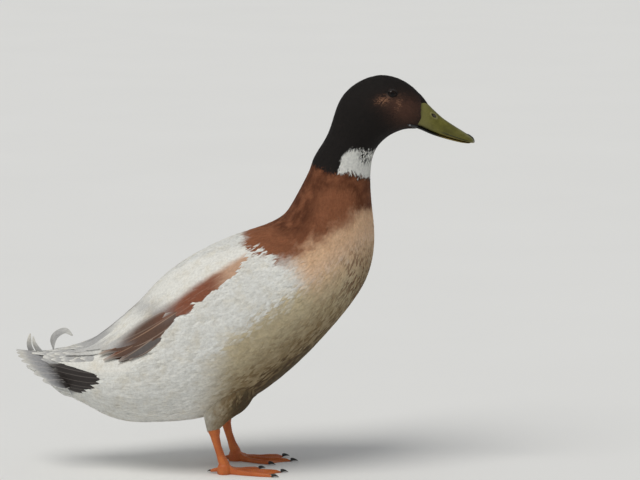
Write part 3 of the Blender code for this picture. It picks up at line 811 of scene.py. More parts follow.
def joined(name, places, faces, bake_map, own):
    """Many copies of one shape as one mesh. places is (copies, corners, 3)."""
    copies, corners = places.shape[:2]
    mesh = bpy.data.meshes.new(name)
    mesh.vertices.add(copies * corners)
    mesh.vertices.foreach_set("co", places.astype(np.float32).ravel())
    every = (np.arange(copies)[:, None, None] * corners + faces[None]).ravel()
    mesh.loops.add(len(every))
    mesh.loops.foreach_set("vertex_index", every.astype(np.int32))
    mesh.polygons.add(len(every) // 3)
    mesh.polygons.foreach_set("loop_start", np.arange(0, len(every), 3, dtype=np.int32))
    mesh.update(calc_edges=True)
    mesh.validate()
    layer = mesh.uv_layers.new(name="OFBake")
    layer.uv.foreach_set("vector", bake_map.reshape(-1, 2)[every].astype(np.float32).ravel())
    put_vectors(mesh, "vane", own.reshape(-1, 3))
    return mesh


TUFT_PATCH = 0.003  # a tuft's size on its bake map


def tuft_map(vane, s, t, span):
    """Each tuft's patch on the bake map, at its root's place on the unrolled surface."""
    low, high = span
    patch = vane.raw[None] * (TUFT_PATCH / 2, TUFT_PATCH) - (0.0, TUFT_PATCH / 2)
    middle = np.stack([t % 1.0, (s - low) / (high - low)], 1)[:, None] * 0.98 + 0.01
    return middle + patch


def shelf_map(vane, count):
    """Each feather's own field on the bake map, side by side in rows."""
    side = math.ceil(math.sqrt(count))
    place = vane.raw * (0.45, 0.9) + (0.5, 0.05)
    k = np.arange(count)
    corner = np.stack([k % side, k // side], 1)[:, None]
    return (corner + place[None]) / side


def lay(name, surface, roots, vane, length, width, depth, lift, turn, ragged=0.0, stack=0.0, span=None,
        wing=False, paint=None, soft=None):
    """Lays one feather at each root, tip towards the tail, following the surface.

    roots is (s, t) for each. length, width, depth of the root under the surface, lift of the tip over it,
    turn and stack, the whole feather's height, are numbers or one for each root. span is the stretch of
    the surface that the bake map covers. Without it each feather has a field of its own. paint gives
    colour marks of its own from the places across and along each feather and the feather's number. soft
    is how much the feathers' shading parts from the surface's own, for a coat whose feathers melt into
    each other.
    """
    s, t = (np.asarray(part, float) for part in roots)
    count = len(s)

    def column(value):
        return np.broadcast_to(np.asarray(value, float), (count,))[:, None]

    # Every corner's place along its feather and aside of the middle line, then along and round the surface.
    ends = ease(vane.raw[:, 1], 0.6, 1.0)[None]
    share = vane.corners[None, :, 0] + ragged * rng.normal(0, 1, (count, len(vane.corners))) * ends
    along = share * column(length)
    aside = vane.corners[None, :, 1] * column(width) / 2
    cos, sin = np.cos(column(turn)), np.sin(column(turn))
    back, over = along * cos - aside * sin, along * sin + aside * cos
    here_s, here_t = s[:, None] + 0 * back, t[:, None] + 0 * back
    for _ in range(3):
        pace = surface.pace((here_s + s[:, None]) / 2, (here_t + t[:, None]) / 2)
        here_s, here_t = s[:, None] - back / pace[0], t[:, None] + over / pace[1]
    rise = np.clip(share, 0, 1)
    height = column(lift) * rise - column(depth) * (1 - rise) ** 2 + column(stack)
    height = height + vane.corners[None, :, 2] * column(width) / 2
    seen = surface.at(here_s, here_t)
    normal = surface.normal_at(here_s, here_t)
    places = seen + normal * height[..., None]

    bake_map = tuft_map(vane, s, t, span) if span else shelf_map(vane, count)
    chance = np.broadcast_to(rng.random((count, 1)), along.shape)
    across_all, along_all = (np.broadcast_to(vane.raw[None, :, k], along.shape) for k in (0, 1))
    mesh = joined(name, places, vane.faces, bake_map, np.stack([across_all, along_all, chance], -1))
    wander = np.broadcast_to(rng.normal(0, 0.0012, (count, 1)), along.shape).ravel()
    seen = seen.reshape(-1, 3)
    values = marks(seen, wander, chance.ravel(), wing)
    if paint:
        number = np.repeat(np.arange(count), along.shape[1])
        values.update(paint(across_all.ravel(), along_all.ravel(), number))
    put_marks(mesh, seen, values)
    if soft is not None:
        outwards = unit(surface.read(surface.around, here_s, here_t)) * across_all[..., None]
        own = rng.normal(0, 0.25, (count, 1, 3))
        facing = unit(normal + (outwards + own) * soft)[:, vane.faces] * vane.outside[None, :, None, None]
        mesh.shade_smooth()
        mesh.normals_split_custom_set(facing.reshape(-1, 3).astype(np.float32))
    return mesh


def aimed(surface, runs, side, tilt):
    """Roots, lengths and turns of feathers that run from one point to another of a side: x, z to x, z."""
    roots = np.array([surface.find(run[0], run[1], side, tilt) for run in runs])
    tips = np.array([surface.find(run[2], run[3], side, tilt) for run in runs])
    pace = surface.pace((roots[:, 0] + tips[:, 0]) / 2, (roots[:, 1] + tips[:, 1]) / 2)
    back, over = (roots[:, 0] - tips[:, 0]) * pace[0], (tips[:, 1] - roots[:, 1]) * pace[1]
    return roots.T, np.hypot(back, over), np.arctan2(over, back)


NONE = (0.0, 0.0, 0.0)  # none of a mark's three colours


def painted(**bands):
    """Marks for feathers of one kind: each of wing, tail and the others as three numbers or arrays."""
    length = max(np.size(part) for band in bands.values() for part in band)
    return {f"mark_{name}": np.stack([np.broadcast_to(part, (length,)) for part in band], 1)
            for name, band in bands.items()}


def washed(ash):
    """Marks for white feathers with a wash of ash grey."""
    return painted(tail=(0.0, ash, 0.0), belly=NONE, wing=NONE)


SCATTER = 0.3  # how far roots stray from their places in a lattice, in steps of it


def lattice(surface, low, high, pitch, spread):
    """Roots in offset rows over a stretch of a surface: pitch along it and spread round it, as graphs."""
    all_s, all_t = [], []
    s, odd = low, 0
    tries = np.linspace(0, 1, 24, endpoint=False)
    while s < high:
        along, around = surface.pace(np.full(24, s), tries)
        step = graph(s, pitch) / along.mean()
        count = max(6, int(around.mean() / graph(s, spread)))
        t = (np.arange(count) + 0.5 * odd + rng.uniform(-SCATTER, SCATTER, count)) / count
        all_t.append(t % 1.0)
        all_s.append(s + rng.uniform(-SCATTER, SCATTER, count) * step)
        s, odd = s + step, 1 - odd
    return np.concatenate(all_s), np.concatenate(all_t)


# Length of the contour feathers along the body.
FEATHER_LENGTH = ((0, 0.026), (2, 0.027), (4, 0.024), (5, 0.020), (6, 0.016), (7, 0.0130), (8, 0.0100),
                  (9, 0.0078), (10, 0.0062), (11, 0.0052), (12, 0.0045), (13, 0.0038), (14, 0.0028))


def scaled_graph(points, factor):
    return tuple((place, number * factor) for place, number in points)


EYE_OPENING = (0.0056, 0.0044)  # half its length and half its height


def clear_of_eye(points, length):
    """True for roots whose feathers stay clear of the eyes."""
    ahead = (points[:, 0] - EYE.x) / EYE_OPENING[0]
    up = (points[:, 2] - EYE.z) / EYE_OPENING[1]
    reach = 1.02 + length / EYE_OPENING[0] * ease(ahead, 0.0, 0.5)
    return (ahead / reach) ** 2 + (up / 1.04) ** 2 > 1


def coat(name, low, high, vane, keep, slot, slim, lift=0.0001, closeness=(0.22, 0.62), soft=0.12):
    """The contour feathers of one stretch of the body, each slim times as wide as it is long."""
    s, t = lattice(body, low, high, scaled_graph(FEATHER_LENGTH, closeness[0]),
                   scaled_graph(FEATHER_LENGTH, closeness[1] * slim))
    length = graph(s, FEATHER_LENGTH) * rng.uniform(0.85, 1.15, len(s))
    points = body.at(s, t)
    below_wing = graph(points[:, 0], WING_LOW) - wing_height(points)
    length = length * (1 - 0.45 * hump(below_wing, 0.0, 0.010) * (points[:, 0] < 0.01))
    tips = body.at(s - 0.8 * length / body.pace(s, t)[0], t)
    over_wing = in_wing(tips) & (below_wing > 0) & (points[:, 0] < 0.0)
    kept = keep(points) & ~over_wing & ~beside_tail(tips) & clear_of_eye(points, length)
    s, t, length, points = s[kept], t[kept], length[kept], points[kept]
    turn = rng.normal(0.0, 0.07, len(s))
    depth = graph(s, COAT_DEPTH)
    rise = rng.uniform(0.0, 1.0, len(s)) * lift
    mesh = lay(name, body, (s, t), vane, length, length * slim, depth, rise, turn,
               span=(low - 0.3, high + 0.3), soft=soft)
    add_piece(name, mesh, FEATHER, slot)


# ---------------------------------------------------------------- making the bird

add_camera()
add_stage()

GROUP = plumage_group()
FEATHER = feather_finish(GROUP)
SKIN = skin_finish(GROUP)
WING = firm_finish(GROUP, "wing_feather", (WHITE, 0.15), (tint(226, 206, 184), 0.10))
TERTIAL = firm_finish(GROUP, "tertial_feather", (tint(190, 166, 148), 0.45), (tint(196, 164, 134), 0.35))
TAIL = firm_finish(GROUP, "tail_feather", (WHITE, 0.7), (tint(190, 184, 178), 0.4))
TAIL_SIDE = firm_finish(GROUP, "tail_side_feather", (tint(196, 186, 176), 0.35), (tint(150, 140, 134), 0.25))

body = body_surface()


# A feathered thigh from the ankle up into the belly: how far its middle is ahead of the ankle and outside
# it, its height, and half its length and width there.
THIGH = ((0.001, 0.000, 0.0500, 0.0080, 0.0074), (0.005, 0.001, 0.0590, 0.0140, 0.0120),
         (0.011, 0.003, 0.0690, 0.0220, 0.0170), (0.016, 0.004, 0.0820, 0.0260, 0.0200),
         (0.020, 0.004, 0.0980, 0.0260, 0.0200))


def thigh_surface(side, rows=40, columns=40):
    turns = ring(columns)[:, None]
    points = np.zeros((rows, columns, 3))
    for i in range(rows):
        ahead, outside, z, length, width = between(THIGH, (len(THIGH) - 1) * i / (rows - 1))
        centre = leg_place(side, ANKLE.x + ahead, z) + Y * side * outside
        points[i] = centre + X * length * np.cos(turns) - Y * width * np.sin(turns)
    return Surface(points, 1.0)


thighs = {side: thigh_surface(side) for side in SIDES}


# The wedge of flesh on the root of the bill's ridge, in sections like the bill's.
FOREHEAD = (
    (0.1780, 0.3950, 0.1770, 0.3810, 0.0104),
    (0.1815, 0.3938, 0.1805, 0.3815, 0.0092),
    (0.1850, 0.3903, 0.1840, 0.3815, 0.0068),
    (0.1880, 0.3864, 0.1873, 0.3812, 0.0042),
    (0.1902, 0.3834, 0.1899, 0.3808, 0.0024),
    (0.1916, 0.3814, 0.1915, 0.3802, 0.0008),
)


def bill_surface(sections, rows, columns, roundness, widest):
    """A form from sections like the bill's: rows along it, columns round it from its top over the left.

    A roundness under 1 makes the sides fuller. widest is how far under its middle it is widest.
    """
    turns = ring(columns)
    side = np.sign(np.sin(turns)) * np.abs(np.sin(turns)) ** roundness
    height = np.cos(turns) - widest * np.sin(turns) ** 2
    points = np.zeros((rows, columns, 3))
    for i in range(rows):
        x1, z1, x0, z0, half = between(sections, (len(sections) - 1) * i / (rows - 1))
        middle, up = np.array(((x0 + x1) / 2, 0, (z0 + z1) / 2)), np.array(((x1 - x0) / 2, 0, (z1 - z0) / 2))
        points[i] = middle + up * height[:, None] + Y * (half * side)[:, None]
    return Surface(points, 1.0)



# The soft cone under the tail, in sections like the bill's from its tip: its top x, z, its underside x, z
# and half its width.
VENT = (
    (-0.2270, 0.1190, -0.2262, 0.1160, 0.0030),
    (-0.2210, 0.1180, -0.2195, 0.1080, 0.0120),
    (-0.2120, 0.1168, -0.2100, 0.0975, 0.0190),
    (-0.2035, 0.1155, -0.2005, 0.0880, 0.0230),
    (-0.1930, 0.1140, -0.1880, 0.0780, 0.0245),
    (-0.1780, 0.1120, -0.1730, 0.0740, 0.0240),
)

forehead = bill_surface(FOREHEAD, 40, 48, 1.0, 0.0)
vent = bill_surface(VENT, 60, 64, 1.0, 0.3)


SKIN_GRAIN = 0.0022  # size of the skin's facets


def make_skin():
    """The flesh under the feathers, as deep under each surface as its feathers' roots need."""
    place = np.linspace(0, HEAD_END, body.rows)
    inset = (graph(place, COAT_DEPTH) + 0.0020 * ease(place, 13.5, 13.9))[:, None, None]
    bm = bmesh.new()
    wrap(bm, (body.points - body.normal * inset)[::2, ::2])
    for thigh in thighs.values():
        wrap(bm, thigh.points - thigh.normal * 0.0020)
    wrap(bm, forehead.points - forehead.normal * 0.0005)
    wrap(bm, vent.points - vent.normal * 0.0011)
    mesh = remeshed(to_mesh("skin", bm), SKIN_GRAIN, 3)
    places = vertex_places(mesh)
    put_marks(mesh, places, marks(places))
    add_piece("skin", mesh, SKIN, "body_feathers", "head", "neck", "trunk", "wing_left", "wing_right",
              "thigh_left", "thigh_right")


make_skin()

LANCE = vane_template(2, 3, tip=0.25, crown=0.04, point=0.10)
SILK = vane_template(2, 6, tip=0.25, crown=0.02, root=0.50, point=0.10, keel=0.4)
BRUSH = vane_template(4, 4, tip=0.40, crown=0.04, fray=0.20)
SMOOTH = vane_template(6, 7, tip=0.45, crown=0.02, fray=0.02, keel=0.2)
LONG = vane_template(10, 14, tip=0.42, crown=0.05, root=0.45, point=0.16, shaft=0.02, sheet=0.022)


def behind_bill(points):
    """The head's feathers end at an upright line on the cheek, and run further out along the ridge."""
    x, side, z = points[..., 0], np.abs(points[..., 1]), points[..., 2]
    ridge = ease(z, 0.3840, 0.3870) * (1 - ease(side, 0.003, 0.007))
    return x < 0.1836 + 0.001 * ridge


def everywhere(points):
    return np.ones(len(points), bool)


def stretch_of(side):
    """Picks points of one half of the body that are off the wing."""
    return lambda points: ~in_wing(points) & (np.sign(points[:, 1]) == side)


coat("coat_head", 12.0, 14.1, LANCE, behind_bill, "head_feathers", slim=0.42)
coat("coat_hood", 9.9, 12.1, LANCE, everywhere, "head_feathers", slim=0.40)
coat("coat_neck", 7.3, 10.0, LANCE, everywhere, "neck_feathers", slim=0.30)
for side, name in SIDES.items():
    coat(f"coat_breast_{name}", 5.2, 7.5, LANCE, stretch_of(side), "body_feathers", slim=0.28)
    coat(f"coat_flank_{name}", 0.0, 5.3, SILK, stretch_of(side), "body_feathers", slim=0.26, lift=0.00005,
         closeness=(0.18, 0.50), soft=0.05)


def coat_thigh(side, name):
    """Short feathers down a thigh. Those that would lie inside the belly are left out."""
    thigh = thighs[side]
    tree = cad_tree("trunk")
    s, t = lattice(thigh, 0.04, 0.98, ((0, 0.0018), (1, 0.0030)), ((0, 0.0018), (1, 0.0034)))
    points = thigh.at(s, t)
    inside = []
    for point in points:
        nearest, normal = tree.find_nearest(Vector(point))[:2]
        inside.append((Vector(point) - nearest).dot(normal) < -0.002)
    kept = ~np.array(inside)
    s, t = s[kept], t[kept]
    length = graph(s, ((0, 0.006), (1, 0.012))) * rng.uniform(0.85, 1.15, len(s))
    mesh = lay(f"coat_thigh_{name}", thigh, (s, t), BRUSH, length, length * 0.42, 0.0018,
               rng.uniform(0.0, 0.0003, len(s)), rng.normal(0, 0.08, len(s)), ragged=0.03, span=(-0.2, 1.2))
    add_piece(f"coat_thigh_{name}", mesh, FEATHER, "body_feathers")


for side, name in SIDES.items():
    coat_thigh(side, name)

# Length of the wing's small and middle feathers along the body.
WING_FEATHER_LENGTH = ((1, 0.040), (3, 0.040), (4, 0.034), (5, 0.024), (6, 0.020))

# The long feathers of the folded wing, from the lowest layer up: root x, z, tip x, z, width and height.
PRIMARIES = (
    (-0.094, 0.117, -0.154, 0.1095, 0.013, 0.0004),
    (-0.096, 0.119, -0.166, 0.1105, 0.013, 0.0007),
    (-0.098, 0.121, -0.176, 0.1115, 0.014, 0.0010),
    (-0.100, 0.124, -0.185, 0.1130, 0.014, 0.0013),
    (-0.100, 0.128, -0.192, 0.1145, 0.014, 0.0016),
)
TERTIALS = (
    (-0.079, 0.1510, -0.117, 0.1160, 0.014, 0.0012),
    (-0.070, 0.1590, -0.127, 0.1150, 0.018, 0.0018),
    (-0.060, 0.1690, -0.143, 0.1150, 0.020, 0.0024),
    (-0.052, 0.1770, -0.148, 0.1205, 0.023, 0.0030),
)
TERTIAL_TILT = 0.12  # their places are as seen from this much above
SCAPULARS = (
    (-0.095, 0.166, -0.186, 0.1205, 0.019, 0.0024),
    (-0.090, 0.172, -0.176, 0.1240, 0.022, 0.0028),
    (-0.078, 0.176, -0.162, 0.1265, 0.024, 0.0032),
    (-0.062, 0.178, -0.146, 0.1290, 0.025, 0.0034),
)


def lay_long(name, rows, side, depth, paint, tilt=0.0):
    """Long wing feathers, each from its root to its tip. Their places are as seen from tilt above."""
    roots, length, turn = aimed(body, [row[:4] for row in rows], side, tilt)
    width, lift = (np.array([row[k] for row in rows]) for k in (4, 5))
    return lay(name, body, roots, LONG, length, width, depth, lift, turn, wing=True, paint=paint)


def primary_paint(across, along, number):
    return washed(0.0 * along)


def tertial_paint(side):
    """Umber below the shaft. The lowest two are grey, and the highest fades to white above it."""

    def paint(across, along, number):
        below = ease(across * side, -0.10, 0.05)
        above = 1 - ease(-across * side, 0.20, 0.95) * ease(along, 0.12, 0.30)
        rust = np.where(number == 3, np.maximum(below, above), 1.0)
        umber = 0.55 + 0.45 * below
        tip = 1 - 0.5 * ease(along, 0.86, 1.0)
        grey = (number < 2) * 0.85 * (1 - 0.6 * ease(along, 0.75, 1.0))
        return painted(wing=(rust * tip, umber, grey), belly=NONE)

    return paint


def scapular_paint(across, along, number):
    """Marked like the wing round them, and grey at the tips."""
    return painted(tail=(0.0, 0.55 * ease(along, 0.55, 0.90), 0.0), belly=NONE)


def lay_wing(side, name):
    """The folded wing: small and middle feathers, firm, smooth and close, then the long ones."""
    s, t = lattice(body, 0.5, 6.0, scaled_graph(WING_FEATHER_LENGTH, 0.20),
                   scaled_graph(WING_FEATHER_LENGTH, 0.24))
    points = body.at(s, t)
    kept = in_wing(points) & (np.sign(points[:, 1]) == side) & (points[:, 0] > -0.176)
    s, t, points = s[kept], t[kept], points[kept]
    length = graph(s, WING_FEATHER_LENGTH) * rng.uniform(0.92, 1.08, len(s))
    length = np.minimum(length, 0.012 + (points[:, 0] + 0.190))
    mesh = lay(f"wing_{name}_coverts", body, (s, t), SMOOTH, length, length * 0.5, 0.0012,
               rng.uniform(0.0, 0.00005, len(s)), rng.normal(0, 0.03, len(s)), wing=True,
               span=(0.0, 6.3), soft=0.05)
    add_piece(f"wing_{name}_coverts", mesh, WING, "wing_feathers")
    mesh = lay_long(f"wing_{name}_primaries", PRIMARIES, side, 0.0015, primary_paint)
    add_piece(f"wing_{name}_primaries", mesh, WING, "wing_feathers")
    mesh = lay_long(f"wing_{name}_tertials", TERTIALS, side, 0.0016, tertial_paint(side), TERTIAL_TILT)
    add_piece(f"wing_{name}_tertials", mesh, TERTIAL, "wing_feathers")
    mesh = lay_long(f"wing_{name}_scapulars", SCAPULARS, side, 0.0014, scapular_paint)
    add_piece(f"wing_{name}_scapulars", mesh, WING, "wing_feathers")


for side, name in SIDES.items():
    lay_wing(side, name)

# ---------------------------------------------------------------- tail

TAIL_ROOT_X, TAIL_TIP_X, TAIL_SET_BACK = -0.180, -0.2385, 0.034
TAIL_HALF_WIDTH = (0.024, 0.041)  # at the root and at the tips
TAIL_DROOP = (0.020, 0.027)  # how far its edges hang under its middle
TAIL_HEIGHT, TAIL_RISE = 0.1140, 0.0100  # of its middle at the root, and how much higher the tips are
TAIL_ROOT = 1.30  # where its feathers are rooted, inside the rump: 0 is at the tips, 1 leaves the body


def fan_surface(side, rows=40, columns=41):
    """The tail's middle sheet, seen from above (1) or from below (-1)."""
    s = np.linspace(0, 1.35, rows)[:, None]
    a = side * np.linspace(-1, 1, columns)[None]
    r = 1 - s
    half = TAIL_HALF_WIDTH[0] + (TAIL_HALF_WIDTH[1] - TAIL_HALF_WIDTH[0]) * r
    droop = TAIL_DROOP[0] + (TAIL_DROOP[1] - TAIL_DROOP[0]) * r
    x = TAIL_ROOT_X + (TAIL_TIP_X + TAIL_SET_BACK * a * a - TAIL_ROOT_X) * r
    z = TAIL_HEIGHT + TAIL_RISE * np.clip(r, 0, 1) ** 0.6 - droop * np.abs(a) ** 1.5
    return Surface(np.stack([x + 0 * z, half * a + 0 * z, z], -1), 1.35, closed=False)


def fan_feathers(name, fan, places, width, stack, paint, reach=1.0, root=TAIL_ROOT):
    """Tail feathers side by side on the fan. places run from -1 to 1 across it."""
    t = (np.asarray(places) + 1) / 2
    s = np.full(len(t), root)
    length = (root + reach - 1) * fan.pace(s / 2, t)[0]
    return lay(name, fan, (s, t), LONG, length, width, 0.0, 0.0, 0.0, stack=stack, paint=paint)


def tail_paint(across, along, number):
    """Dark brown-grey at the root, pale at the tip."""
    soot = 1 - ease(along + 0.04 * np.abs(across), 0.50, 0.80)
    ash = 1 - 0.7 * ease(along, 0.80, 0.97)
    return painted(tail=(0.95 * soot, ash, 0.0), belly=NONE, wing=NONE)


def side_paint(across, along, number):
    """Dark, and a little paler at the tip."""
    return painted(tail=(1 - 0.25 * ease(along, 0.75, 1.0), 0.0, 0.0), belly=NONE)


def pale_paint(across, along, number):
    return washed(0.75 * (1 - ease(along, 0.7, 1.0)))


def vent_paint(across, along, number):
    return washed(0.3 * along)


# The dark feathers on the tail's side, in rows like the wing's.
SIDE_TAIL_FEATHERS = (
    (-0.148, 0.0900, -0.1960, 0.0945, 0.013, 0.0006),
    (-0.145, 0.0945, -0.1990, 0.0985, 0.014, 0.0009),
    (-0.142, 0.0995, -0.2010, 0.1030, 0.015, 0.0012),
    (-0.138, 0.1045, -0.2020, 0.1075, 0.016, 0.0015),
    (-0.134, 0.1085, -0.2030, 0.1120, 0.016, 0.0018),
)


def coat_vent():
    """Pale feathers on the soft cone under the tail."""
    s, t = lattice(vent, 0.06, 0.95, ((0, 0.0030), (1, 0.0042)), ((0, 0.0030), (1, 0.0038)))
    length = np.minimum(rng.uniform(0.016, 0.021, len(s)), 0.052 * s)
    mesh = lay("coat_vent", vent, (s, t), SILK, length, 0.0015 + length * 0.20, 0.0010, 0.0002,
               rng.normal(0, 0.08, len(s)), span=(-0.2, 1.2), paint=vent_paint, soft=0.08)
    add_piece("coat_vent", mesh, FEATHER, "body_feathers")


def make_tail():
    above, below = fan_surface(1), fan_surface(-1)
    outer = np.array([0.95, 0.78, 0.61, 0.45, 0.30, 0.17, 0.06])
    places = np.stack([outer, -outer], 1).ravel()
    stack = 0.0022 * (1 - np.abs(places)) - 0.0012
    mesh = fan_feathers("tail_feathers", above, places, 0.0190, stack, tail_paint)
    add_piece("tail_feathers", mesh, TAIL, "tail_feathers", "tail")
    places = np.linspace(-0.75, 0.75, 11)
    mesh = fan_feathers("undertail_coverts", below, places, 0.014, 0.0020, pale_paint, 0.62, 1.25)
    add_piece("undertail_coverts", mesh, TAIL, "tail_feathers")
    for side, name in SIDES.items():
        mesh = lay_long(f"tail_side_{name}", SIDE_TAIL_FEATHERS, side, 0.0012, side_paint)
        add_piece(f"tail_side_{name}", mesh, TAIL_SIDE, "tail_feathers")
    rows, in_row = (1.15, 0.98, 0.80, 0.62, 0.45), 13
    count = len(rows) * in_row
    s = np.repeat(rows, in_row) + rng.uniform(-0.04, 0.04, count)
    t = np.tile(np.linspace(-0.17, 0.17, in_row), len(rows)) + rng.normal(0, 0.006, count)
    mesh = lay("rump_coverts", body, (s, t), LONG, rng.uniform(0.026, 0.040, count), 0.0105, 0.0015, 0.0010,
               rng.normal(0, 0.06, count), paint=pale_paint)
    add_piece("rump_coverts", mesh, TAIL, "tail_feathers")


# The curled feathers: their middle lines (x, z), from root to tip, side of the middle plane and width.
CURLS = {
    1: (((-0.1975, 0.1180), (-0.2000, 0.1255), (-0.2004, 0.1329), (-0.1981, 0.1389), (-0.1925, 0.1433),
         (-0.1870, 0.1448), (-0.1827, 0.1424), (-0.1790, 0.1392)), 0.003, 0.0082),
    2: (((-0.2020, 0.1165), (-0.2070, 0.1190), (-0.2114, 0.1213), (-0.2161, 0.1266), (-0.2194, 0.1329),
         (-0.2204, 0.1398)), -0.004, 0.0074),
    3: (((-0.2140, 0.1165), (-0.2190, 0.1190), (-0.2232, 0.1234), (-0.2252, 0.1291), (-0.2250, 0.1354),
         (-0.2239, 0.1414)), 0.005, 0.0072),
}


def make_curl(number, line, aside, width, rows=40, columns=24):
    """A curled feather: a thin blade that turns its face aside and ends in a point."""
    last = len(line) - 1
    middle = np.array([between(line, last * i / (rows - 1)) for i in range(rows)])
    middle = np.stack([middle[:, 0], np.full(rows, aside), middle[:, 1]], 1)
    ahead = unit(np.gradient(middle, axis=0))
    out = np.cross(ahead, Y)
    f = np.linspace(0, 1, rows)
    twist = (math.radians(62) * ease(f, 0.0, 0.4))[:, None]
    wide = out * np.sin(twist) + Y * np.cos(twist)
    thick = out * np.cos(twist) - Y * np.sin(twist)
    half = width / 2 * (0.65 + 0.35 * ease(f, 0.0, 0.3)) * (1.0001 - f**4) ** 0.8
    turns = ring(columns)
    across = np.cos(turns)
    depth = 0.00022 * np.sin(turns) + 0.00030 * hump(across, 0.0, 0.16) * np.sign(np.sin(turns))
    cup = -0.0006 * (across**2)
    points = middle[:, None] + wide[:, None] * (half[:, None] * across)[..., None]
    points = points + thick[:, None] * (depth * (1 - 0.5 * f[:, None]) + cup)[..., None]
    bm = bmesh.new()
    wrap(bm, points)
    mesh = to_mesh(f"tail_curl_feather_{number}", bm)
    places = vertex_places(mesh)
    near = np.argmin(np.linalg.norm(places[:, None] - middle[None], axis=2), axis=1)
    side = np.einsum("ij,ij->i", places - middle[near], wide[near]) / np.maximum(half[near], 1e-5)
    own = np.stack([np.clip(side, -1, 1), near / rows, np.full(len(places), number / 4)], 1)
    put_vectors(mesh, "vane", own)
    values = marks(places)
    values.update(washed(0.8 * (1 - ease(own[:, 1], 0.5, 1.0))))
    put_marks(mesh, places, values)
    add_piece(f"tail_curl_feather_{number}", mesh, TAIL, "tail_feathers", f"tail_curl_{number}")


make_tail()
coat_vent()
for number, (line, aside, width) in CURLS.items():
    make_curl(number, line, aside, width)

# ---------------------------------------------------------------- bill

# Bill sections from inside the head to the tip: the ridge x, z, the cutting edge x, z, and half the width.
# For the lower half they are its top and its underside.
UPPER_BILL = (
    (0.1780, 0.3885, 0.1735, 0.3622, 0.0118),
    (0.1838, 0.3868, 0.1790, 0.3606, 0.0120),
    (0.1892, 0.3838, 0.1840, 0.3588, 0.0116),
    (0.1975, 0.3758, 0.1920, 0.3553, 0.0108),
    (0.2065, 0.3678, 0.2020, 0.3514, 0.0106),
    (0.2170, 0.3606, 0.2130, 0.3482, 0.0113),
    (0.2265, 0.3546, 0.2240, 0.3456, 0.0124),
    (0.2335, 0.3500, 0.2320, 0.3441, 0.0120),
    (0.2370, 0.3472, 0.2362, 0.3430, 0.0088),
    (0.2386, 0.3452, 0.2384, 0.3428, 0.0034),
)
LOWER_BILL = (
    (0.1720, 0.3642, 0.1716, 0.3606, 0.0080),
    (0.1790, 0.3616, 0.1784, 0.3580, 0.0092),
    (0.1850, 0.3591, 0.1843, 0.3558, 0.0098),
    (0.1950, 0.3544, 0.1942, 0.3515, 0.0099),
    (0.2060, 0.3502, 0.2054, 0.3479, 0.0099),
    (0.2170, 0.3471, 0.2166, 0.3449, 0.0104),
    (0.2260, 0.3449, 0.2258, 0.3430, 0.0113),
    (0.2325, 0.3437, 0.2324, 0.3423, 0.0100),
    (0.2350, 0.3433, 0.2349, 0.3424, 0.0055),
)
NOSTRIL = (0.1968, 0.3713)
NOSTRIL_SIZE = (0.0031, 0.0015)  # half its length and half its height
BILL_SLOPE = math.radians(-40)
NAIL_PLACE, NAIL_SIZE = Vector((0.2350, 0.0, 0.3474)), (0.0062, 0.0046, 0.0021)


def nostril_place(points):
    """How far along and across its long axis a point is from the nostril, in nostril sizes."""
    x, z = points[..., 0] - NOSTRIL[0], points[..., 2] - NOSTRIL[1]
    ahead = x * math.cos(BILL_SLOPE) + z * math.sin(BILL_SLOPE)
    over = z * math.cos(BILL_SLOPE) - x * math.sin(BILL_SLOPE)
    return ahead / NOSTRIL_SIZE[0], over / NOSTRIL_SIZE[1]


def bill_piece(name, points, node, low):
    bm = bmesh.new()
    wrap(bm, points)
    mesh = to_mesh(name, bm)
    bill_marks(mesh, low)
    add_piece(name, mesh, BILL, "bill", node)


def make_bill():
    """The two halves: the upper with its rim, its grooves and the nostrils, and the lower."""
    upper = bill_surface(UPPER_BILL, 170, 132, 0.75, 0.35)
    x = upper.points[..., 0]
    turn = np.arange(upper.columns) / upper.columns
    from_ridge = np.minimum(turn, 1 - turn)[None] * 360  # degrees round from the ridge
    flare = ease(x, 0.192, 0.215)
    rim = 0.00045 * hump(from_ridge, 124, 9) * (0.4 + 0.6 * flare)
    groove = -0.00040 * hump(from_ridge, 106, 7) * ease(x, 0.200, 0.210) * (1 - ease(x, 0.231, 0.236))
    away = np.hypot(*nostril_place(upper.points))
    hole = -0.0020 * (1 - ease(away, 0.55, 1.05)) + 0.00035 * hump(away, 1.35, 0.28)
    ridge = -0.0005 * hump(from_ridge, 38, 22) * ease(x, 0.195, 0.210) * (1 - ease(x, 0.225, 0.236))
    relief = rim + groove + hole + ridge
    bill_piece("bill_top", upper.points + upper.normal * relief[..., None], "bill_upper", 0.0)
    bill_piece("bill_bottom", bill_surface(LOWER_BILL, 110, 72, 0.75, 0.10).points, "bill_lower", 1.0)


def make_nail():
    """A low oval shield on the tip that hooks a little over its edge."""
    bm = bmesh.new()
    bmesh.ops.create_uvsphere(bm, u_segments=48, v_segments=32, radius=1.0)
    for vertex in bm.verts:
        along, across, height = vertex.co
        hook = 0.0020 * max(along - 0.2, 0.0) ** 2
        vertex.co = (along * NAIL_SIZE[0], across * NAIL_SIZE[1], height * NAIL_SIZE[2] - hook)
    bmesh.ops.rotate(bm, verts=bm.verts, cent=(0, 0, 0), matrix=Matrix.Rotation(-BILL_SLOPE, 3, "Y"))
    bmesh.ops.translate(bm, verts=bm.verts, vec=NAIL_PLACE)
    settle(bm)
    add_piece("bill_tip_nail", to_mesh("bill_tip_nail", bm), NAIL, "bill_nail", "bill_nail")


